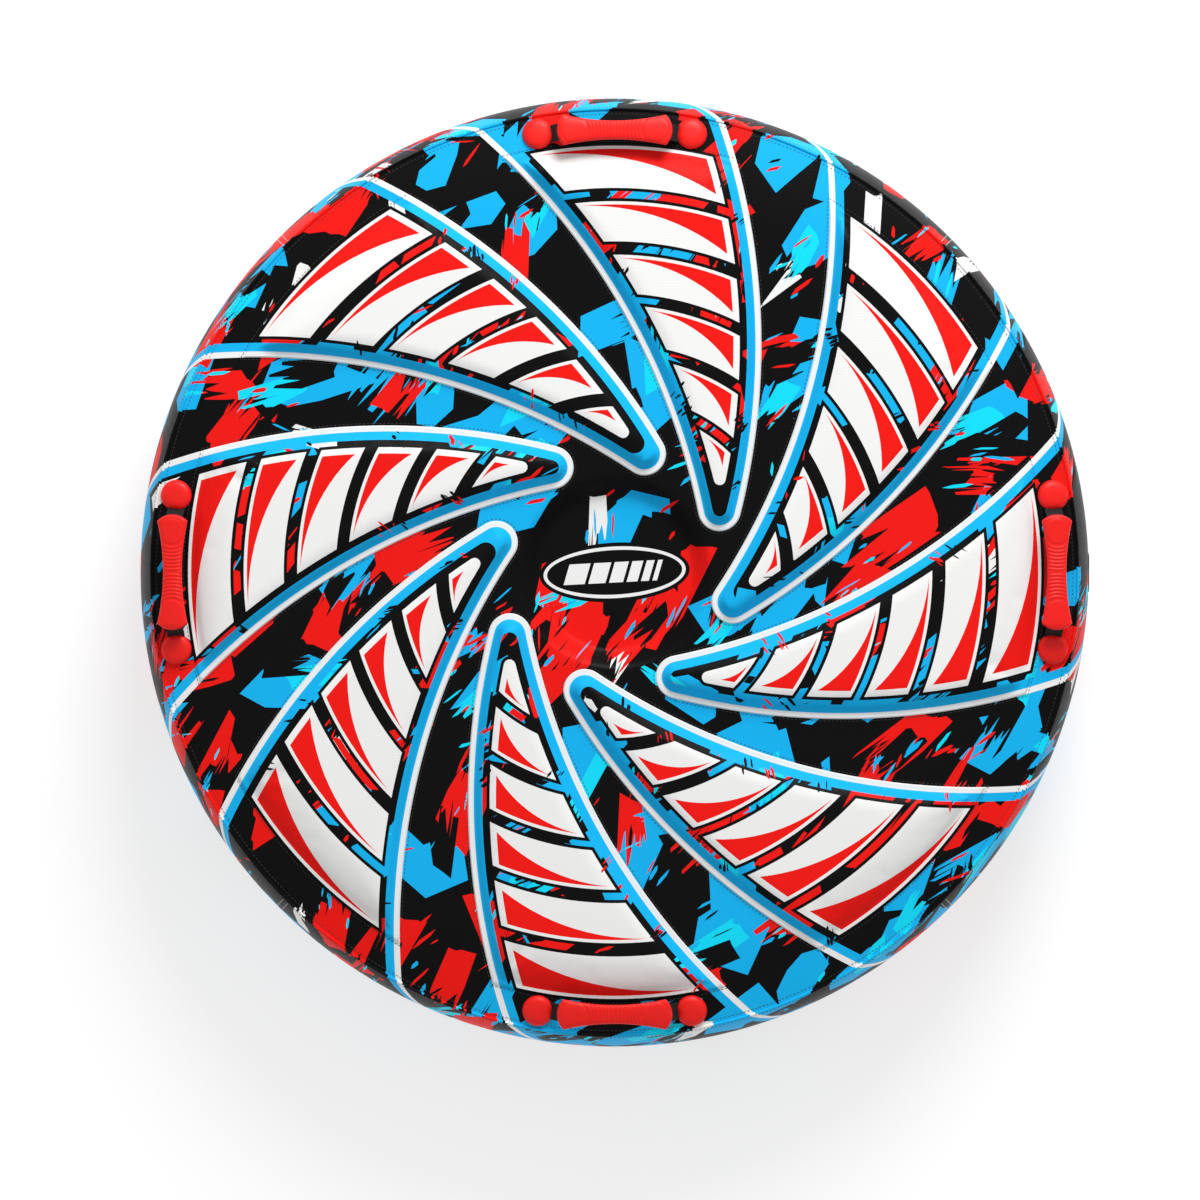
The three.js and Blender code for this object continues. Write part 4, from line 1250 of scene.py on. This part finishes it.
def stitch_run(builder, path, pitch=5.2, length=3.6, width=0.9, height=0.5, normal=None):
    """Short thread stitches along a line that lies on the cover."""
    path = np.asarray(path, float)
    steps = np.linalg.norm(np.diff(path, axis=0), axis=1)
    along = np.concatenate([[0], np.cumsum(steps)])
    for start in np.arange(0, along[-1] - length, pitch):
        a, b = (np.array([np.interp(s, along, path[:, k]) for k in range(3)])
                for s in (start, start + length))
        ahead = (b - a) / max(np.linalg.norm(b - a), 1e-6)
        up = np.array([0, 0, 1.0]) if normal is None else normal(0.5 * (a + b))
        side = np.cross(up, ahead)
        points = [a + (b - a) * share + side * off * width * reach
                  + up * (height * rise * lift - STITCH_SUNK)
                  for share, reach, lift in STITCH_SECTIONS for off, rise in STITCH_POINTS]
        builder.add(points, grid_faces(5, 5) + [STITCH_FOOT])


def outward(point):
    """The direction out of the side's bulge at a point."""
    x, y, z = point
    r = math.hypot(x, y)
    lean = math.atan2(z - SIDE_ARC_Z, r - SIDE_ARC_R)
    return np.array([math.cos(lean) * x / r, math.cos(lean) * y / r, math.sin(lean)])


def add_stitching():
    """Topstitching round each pad, along the deck's rim, beside the side's and the base's seams."""
    off = 2.6
    beside_pad = blade_field(-BLADE_MARGIN - off, BLADE_NOSE_RADIUS + off, PAD_END_RADIUS + off)
    for i in range(BLADE_COUNT):
        run = Builder()
        path = lifted(turned(beside_pad, i * BLADE_STEP))
        stitch_run(run, np.vstack([path, path[:1]]))
        run.finish(f"blade_stitching_{i + 1}", BLACK_THREAD, "pad_print")
    rim = Builder()
    for radius in (DECK_END - 4.5, SIDE_START + 5.5):
        path = lifted(polar(radius, np.radians(np.arange(0, 361, 1.0))))
        stitch_run(rim, path, normal=None if radius < CREASE_RADIUS else outward)
    rim.finish("rim_stitching", BLACK_THREAD, "piping")
    seams = Builder()
    for angle in SIDE_SEAMS:
        for off in (-4.0, 4.0):
            radii = np.linspace(SIDE_START + 7, SIDE_END - 7, 40)
            turn = math.radians(angle) + off / SIDE_RADIUS
            stitch_run(seams, lifted(polar(radii, turn)), normal=outward)
    seams.finish("side_seam_stitching", WHITE_THREAD, "side_print")
    under = Builder()
    for off in (-5.0, 5.0):
        lines = [polar(BASE_DISC_RADIUS + off, np.radians(np.arange(0, 361, 2.0)))]
        lines += [turned([(r, off) for r in np.linspace(BASE_DISC_RADIUS + 10, 560, 60)], angle)
                  for angle in SIDE_SEAMS]
        for line in lines:
            heights = base_skin_z(np.hypot(*line.T), np.arctan2(line[:, 1], line[:, 0]))
            stitch_run(under, np.column_stack([line, heights]), height=0.35,
                       normal=lambda point: np.array([0, 0, -1.0]))
    under.finish("base_stitching", WHITE_THREAD, "base_fabric")


# ---- Valve on +X ---------------------------------------------------------------------------------

VALVE_BORE_RADIUS = 9.5
VALVE_CAP_RADIUS = 16.5
VALVE_BODY_RADIUS = 12.6
COLLAR_X = SIDE_RADIUS - 5.5
CAP_OUTER_X = SIDE_RADIUS - 0.5
CAP_RIBS = 24


def facing_x(profile, closed=False):
    """Points of (distance from the valve's axis, x), turned about that axis."""
    points, faces = revolved(profile, closed)
    return np.column_stack([points[:, 2], points[:, 1], SIDE_ARC_Z + points[:, 0]]), faces


def add_valve():
    neck_end, inner_end = COLLAR_X - 1.2, COLLAR_X - 16
    body = Builder()
    body.add(*facing_x([(VALVE_BORE_RADIUS, inner_end), (VALVE_BODY_RADIUS, inner_end),
                        (VALVE_BODY_RADIUS, neck_end), (VALVE_CAP_RADIUS, neck_end),
                        (VALVE_CAP_RADIUS + 0.4, neck_end + 0.5), (VALVE_CAP_RADIUS, COLLAR_X),
                        (VALVE_BORE_RADIUS, COLLAR_X)], closed=True))
    spoke = extruded([(-1, -9.4), (1, -9.4), (1, 9.4), (-1, 9.4)], -0.7, 0.7, 0.2)
    for turn in (0, math.pi / 2):
        place = Matrix.Translation((COLLAR_X - 15, 0, SIDE_ARC_Z)) @ Matrix.Rotation(turn, 4, "X")
        body.add(*spoke, place)
    body.finish("valve_body_moulding", BLACK_MOULDING, "black_moulding", replaced=("valve_body",))

    cap = Builder()
    plug = [(0.05, -10), (8.6, -10), (9.1, -9.4), (9.1, 0.4), (15.4, 0.4), (16.4, 1.0)]
    face = [(16.4, -1.6), (15.6, -0.6), (14.2, -0.2), (12.4, -0.3), (11.6, -1.4), (0.05, -1.7)]
    cap.add(*facing_x([(r, COLLAR_X + x) for r, x in plug] + [(r, CAP_OUTER_X + x) for r, x in face]))
    quarter_turn = Matrix.Rotation(math.pi / 2, 4, "Y")
    rib = extruded(polar(0.9, np.radians(np.arange(0, 360, 45))), 0, 2.6, 0.2)
    for k in range(CAP_RIBS):
        turn = Matrix.Rotation(2 * math.pi * k / CAP_RIBS, 4, "X")
        on_edge = Matrix.Translation((COLLAR_X + 1.2, 0, 16.0))
        cap.add(*rib, Matrix.Translation((0, 0, SIDE_ARC_Z)) @ turn @ on_edge @ quarter_turn)
    grip_bar = smooth_line([(-11, 0), (-10, 1.6), (0, 2.3), (10, 1.6), (11, 0), (10, -1.6), (0, -2.3),
                            (-10, -1.6)], 30)
    upright = (Matrix.Translation((CAP_OUTER_X - 2.4, 0, SIDE_ARC_Z)) @ quarter_turn
               @ Matrix.Rotation(math.pi / 2, 4, "Z"))
    cap.add(*extruded(grip_bar, 0, 2.6, 0.4), upright)
    cap.finish("valve_cap_moulding", RED_MOULDING, "red_moulding", "valve_cap", ("valve_cap",))

    turns = np.radians(np.arange(0, 360, 6))
    hole = np.column_stack([np.full(len(turns), SIDE_RADIUS), VALVE_HOLE_RADIUS * np.cos(turns),
                            SIDE_ARC_Z + VALVE_HOLE_RADIUS * np.sin(turns)])
    r = SIDE_ARC_R + np.sqrt(SIDE_BULGE_RADIUS**2 - (hole[:, 2] - SIDE_ARC_Z) ** 2)
    hole[:, 0] = np.sqrt(r**2 - hole[:, 1] ** 2) - 0.3
    binding = Builder().add(*tube_along(hole, 1.4, 10, closed=True))
    binding.finish("valve_hole_binding", PIPING_CLOTH, "piping")


# ---- Drain eyelets, zip and tow point ------------------------------------------------------------


def add_eyelets():
    hole = EYELET_HOLE_RADIUS
    profile = smooth_closed([(hole - 0.4, -1.4), (hole - 0.4, 0.9), (4.9, 1.5), (6.0, 1.5), (7.4, 0.9),
                             (8.0, 0.25), (7.6, 0.15), (hole + 0.3, 0.15), (hole, -1.4)])
    points, faces = revolved(profile, closed=True)
    points, faces = points[:, [2, 1, 0]], [face[::-1] for face in faces]
    for i, angle in enumerate(EYELET_ANGLES):
        ring = Builder().add(points, faces, side_station(angle, EYELET_Z, 0.2))
        ring.finish(f"drain_eyelet_ring_{i + 1}", STEEL, "steel", replaced=(f"drain_eyelet_{i + 1}",))


def smooth_closed(points, rounds=2):
    """Cuts the corners of a closed outline."""
    points = np.asarray(points, float)
    near, far = 0.78, 0.22
    for _ in range(rounds):
        ahead = np.roll(points, -1, 0)
        cut = np.stack([near * points + far * ahead, far * points + near * ahead], 1)
        points = cut.reshape(-1, 2)
    return points


ZIP_Z = 60.0
ZIP_FROM = 223.0
ZIP_TO = 317.0
ZIP_TAPE_WIDTH = 30.0
ZIP_GAP = 1.6  # from the zip's middle to each half of its tape
TAPE_OFF, TAPE_TOP = 0.3, 1.5  # stand-offs of the tape's two faces from the side
TOOTH_PITCH = 2.6
SLIDER_ANGLE = ZIP_FROM + 3.5
SLIDER_OFF = 4.7
PULL_RADIUS = 606.4
PATCH_LOW, PATCH_HIGH, PATCH_FROM, PATCH_TO = 30.0, 100.0, 84.5, 95.5  # heights, then angles
PATCH_TOP = 1.8  # the stand-off of the patch's outer face
TOW_BAR_RADIUS = 2.7


def side_band(low_z, high_z, from_angle, to_angle, near, far, rows, columns, wave=0.0):
    """A closed strip on the side between two heights, two angles and two stand-offs."""
    lean = np.linspace(side_angle_at(low_z), side_angle_at(high_z), rows)
    turn = np.radians(np.linspace(from_angle, to_angle, columns))
    grids = []
    for off in (near, far):
        ripple = wave * np.sin(np.arange(columns) * 1.7)[None, :] if off == far else 0.0
        r, z = side_point(lean, off)
        r = r[:, None] + ripple
        grids.append(np.stack([r * np.cos(turn), r * np.sin(turn),
                               np.repeat(z[:, None], columns, 1)], -1).reshape(-1, 3))
    total = rows * columns
    skin = grid_faces(rows, columns)
    numbers = np.arange(total).reshape(rows, columns)
    edge = np.concatenate([numbers[:, 0], numbers[-1, 1:], numbers[-2::-1, -1],
                           numbers[0, -2:0:-1]]).tolist()
    faces = skin + [[k + total for k in f[::-1]] for f in skin]
    faces += [[a, a + total, b + total, b] for a, b in zip(edge, edge[1:] + edge[:1])]
    return np.concatenate(grids), faces


def add_zip():
    half = ZIP_TAPE_WIDTH / 2
    ends = (ZIP_FROM, ZIP_TO)
    tape = Builder()
    for low, high in ((ZIP_Z - half, ZIP_Z - ZIP_GAP), (ZIP_Z + ZIP_GAP, ZIP_Z + half)):
        tape.add(*side_band(low, high, *ends, TAPE_OFF, TAPE_TOP, 7, 200, 0.06))
    tape.add(*side_band(ZIP_Z - ZIP_GAP, ZIP_Z + ZIP_GAP, *ends, TAPE_OFF, 0.9, 3, 200))
    tape.finish("zip_tape_cloth", ZIP_CLOTH, "zip_tape", replaced=("zip_tape",))

    threads = Builder()
    for z in (ZIP_Z - half + 2, ZIP_Z - 6, ZIP_Z + 6, ZIP_Z + half - 2):
        r, height = side_point_at(z, TAPE_TOP)
        turn = np.radians(np.linspace(ZIP_FROM + 0.3, ZIP_TO - 0.3, 160))
        path = np.column_stack([r * np.cos(turn), r * np.sin(turn), np.full(len(turn), height)])
        stitch_run(threads, path, pitch=4.6, length=3.2, width=0.8, height=0.35, normal=outward)
    threads.finish("zip_stitching", BLACK_THREAD, "zip_tape")

    teeth = Builder()
    tooth = smooth_closed([(-0.6, -0.7), (4.6, -0.9), (5.2, 0), (4.6, 0.9), (-0.6, 0.7)], 1)
    pitch = math.degrees(TOOTH_PITCH / side_point_at(ZIP_Z)[0])
    for k in range(int((ZIP_TO - ZIP_FROM - 2) / pitch)):
        flip = 1 if k % 2 else -1
        outline = np.column_stack([tooth[:, 1], flip * (tooth[:, 0] - 3.0)])[::flip]
        points, faces = extruded(outline, 0.1, 2.3, 0.45)
        station = side_station(ZIP_FROM + 1 + k * pitch, ZIP_Z, TAPE_TOP)
        teeth.add(points[:, [2, 0, 1]], faces, station)
    teeth.finish("zip_teeth", BLACK_MOULDING, "black_moulding", replaced=("zip_coil",))

    place = side_station(SLIDER_ANGLE, ZIP_Z, SLIDER_OFF)
    outline = smooth_closed([(-9.2, -4.0), (9.2, -6.2), (9.2, 6.2), (-9.2, 4.0)])
    points, faces = extruded(outline, 0, 1.5, 0.45)
    slider = Builder().add(points[:, [2, 0, 1]], faces, place)
    bridge = smooth_line([(1.2, -5.5, 0.9), (2.7, -4.4, 0.9), (3.1, 0, 0.9), (2.7, 4.4, 0.9),
                          (1.2, 5.5, 0.9)], 16)
    slider.add(*tube_along(bridge, 0.75), place)
    slider.finish("zip_slider_metal", STEEL, "steel", "zip_slider", ("zip_slider",))


def add_zip_pull():
    low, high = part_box("zip_pull")
    top, bottom = high.z / MM - 1.2, low.z / MM
    half = [(1.7, top), (2.3, top - 4), (3.9, bottom + 7), (3.2, bottom + 0.6)]
    outline = smooth_closed([(-2.3, top - 4), (-1.7, top), *half, (-3.2, bottom + 0.6),
                             (-3.9, bottom + 7)])
    points, faces = extruded(outline, -0.75, 0.75, 0.35)
    place = (Matrix.Rotation(math.radians(SLIDER_ANGLE), 4, "Z")
             @ Matrix.Translation((PULL_RADIUS, 0, 0)))
    pull = Builder().add(points[:, [2, 0, 1]], faces, place)
    for z in np.linspace(bottom + 5, bottom + 14, 5):
        pull.add(*tube_along([(0.8, -2.4, z), (0.8, 2.4, z)], 0.45), place)
    pull.finish("zip_pull_metal", STEEL, "steel", "zip_pull", ("zip_pull",))


def stitch_on_patch(builder, start, end, count, off, **stitch):
    """A stitched line on the tow patch between two places, given as (angle, height)."""
    path = []
    for turn, z in np.linspace(start, end, count):
        r, height = side_point_at(z, off)
        path.append((r * math.cos(math.radians(turn)), r * math.sin(math.radians(turn)), height))
    stitch_run(builder, path, normal=outward, **stitch)


def add_tow_point():
    patch = Builder().add(*side_band(PATCH_LOW, PATCH_HIGH, PATCH_FROM, PATCH_TO, TAPE_OFF, PATCH_TOP,
                                     24, 36))
    patch.finish("tow_patch_cloth", WEBBING, "webbing", replaced=("tow_patch",))

    threads = Builder()
    from_angle, to_angle = PATCH_FROM + 0.45, PATCH_TO - 0.45
    low, high = PATCH_LOW + 4.5, PATCH_HIGH - 4.5
    corners = [(from_angle, low), (to_angle, low), (to_angle, high), (from_angle, high)]
    for a, b in zip(corners, corners[1:] + corners[:1]):
        stitch_on_patch(threads, a, b, 14, PATCH_TOP, pitch=4.4, length=3.1)
    box = [(88.6, 63), (91.4, 63), (91.4, 81), (88.6, 81)]
    for a, b in zip(box + box[:2], box[1:] + [box[0], box[2], box[3]]):  # the box, then its cross
        stitch_on_patch(threads, a, b, 10, 4.8, pitch=3.6, length=2.6, width=0.8)
    threads.finish("tow_stitching", WHITE_THREAD, "webbing")

    ring_low, ring_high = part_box("tow_ring")
    bar_z = ring_high.z / MM - TOW_BAR_RADIUS
    bar_y = 0.5 * (ring_low.y + ring_high.y) / MM
    half = 0.5 * (ring_high.x - ring_low.x) / MM - TOW_BAR_RADIUS
    bow_z = -10
    bow_turns = np.radians(np.linspace(0, -180, 25))
    bow = [(half * math.cos(t), bow_z + half * math.sin(t)) for t in bow_turns]
    d_shape = smooth_closed([(half, 0), *bow, (-half, 0)], 1)
    path = np.column_stack([d_shape[:, 0], np.full(len(d_shape), bar_y), bar_z + d_shape[:, 1]])
    ring = Builder().add(*tube_along(path, TOW_BAR_RADIUS, 16, closed=True))
    ring.finish("tow_d_ring", STEEL, "steel", "tow_ring", ("tow_ring",))

    loop_radius, strap_off = 4.9, 3.2
    turns = np.radians(np.linspace(-250, 75, 40))
    loop = [(bar_y + loop_radius * math.cos(t), bar_z + loop_radius * math.sin(t)) for t in turns]
    tail = [(float(side_point_at(z, strap_off)[0]), z) for z in np.linspace(bar_z + 9, 83, 12)]
    strap = Builder().add(*flat_strap(smooth_line(loop + tail, 110), 19.0, 2.3, 0.14))
    strap.finish("tow_webbing_loop", WEBBING, "webbing", replaced=("tow_webbing",))


def dress_frame_nodes():
    """Gives the frame's own inner pieces their finish."""
    finishes = {("bladder", "i_beam", "centre_tie", "valve_flange"): BLADDER_PVC,
                ("valve_flap", "handle"): BLACK_MOULDING}
    for name, node in nodes.items():
        for starts, finish in finishes.items():
            if name.startswith(starts):
                node.data.materials.clear()
                node.data.materials.append(finish)


# ---- Stage, light and camera ---------------------------------------------------------------------


FLOOR_HALF = 9000
LIGHT_ON_TUBE, LIGHT_BEHIND = 0.53, 1.0  # the world's strength for the tube and for the camera
KEY_PLACE, KEY_TARGET, KEY_SIZE, KEY_POWER = (0.9, 3.9, 3.0), (0, 0, 0.2), 2.4, 205


def set_stage():
    white = Finish("floor_white", (0.45, 0.45, 0.45), 0.8, Emission_Color=(1, 1, 1, 1),
                   Emission_Strength=0.64).material
    corners = [(-1, -1, 0), (1, -1, 0), (1, 1, 0), (-1, 1, 0)]
    piece_from("floor", np.array(corners) * FLOOR_HALF, [(0, 1, 2, 3)], [white])
    world = bpy.data.worlds.new("studio")
    bpy.context.scene.world = world
    world.use_nodes = True
    tree = world.node_tree
    background = tree.nodes["Background"]
    background.inputs["Color"].default_value = (1, 1, 1, 1)
    seen = tree.nodes.new("ShaderNodeLightPath").outputs["Is Camera Ray"]
    strength = tree.nodes.new("ShaderNodeMapRange")
    strength.inputs["To Min"].default_value = LIGHT_ON_TUBE
    strength.inputs["To Max"].default_value = LIGHT_BEHIND
    tree.links.new(seen, strength.inputs["Value"])
    tree.links.new(strength.outputs["Result"], background.inputs["Strength"])

    light = bpy.data.lights.new("key", "AREA")
    light.shape, light.size, light.energy = "DISK", KEY_SIZE, KEY_POWER
    lamp = bpy.data.objects.new("key", light)
    lamp.location = KEY_PLACE
    aim = Vector(KEY_TARGET) - Vector(KEY_PLACE)
    lamp.rotation_euler = aim.to_track_quat("-Z", "Y").to_euler()
    bpy.context.scene.collection.objects.link(lamp)


CAMERA_DISTANCE = 10.0  # from the widest part of the tube, in metres
FRAME_SHARE = 0.7896  # of the picture's width, taken up by the tube
FRAME_OFFSET = (-0.0121, -0.0229)  # of the picture's middle from the tube's, in picture widths


def set_camera():
    width = 2 * SIDE_RADIUS * MM / FRAME_SHARE
    camera = bpy.data.cameras.new("camera")
    camera.sensor_width = 36.0
    camera.lens = camera.sensor_width * CAMERA_DISTANCE / width
    camera.clip_end = 60
    placed = bpy.data.objects.new("camera", camera)
    placed.location = (FRAME_OFFSET[0] * width, FRAME_OFFSET[1] * width,
                       CAMERA_DISTANCE + SIDE_ARC_Z * MM)
    bpy.context.scene.collection.objects.link(placed)
    bpy.context.scene.camera = placed
    bpy.context.scene.view_settings.view_transform = "Standard"


*printed, print_layers = print_mesh()
add_blade_pads(*printed)
add_printed_cover(*printed)
add_piping("top_piping_cord", CREASE_RADIUS, CREASE_Z, "top_piping", print_layers)
add_piping("base_piping_cord", BASE_CREASE_RADIUS, BASE_CREASE_Z, "base_piping")
add_base()
add_stitching()
add_handles()
add_valve()
add_eyelets()
add_zip()
add_zip_pull()
add_tow_point()
dress_frame_nodes()
set_stage()
set_camera()
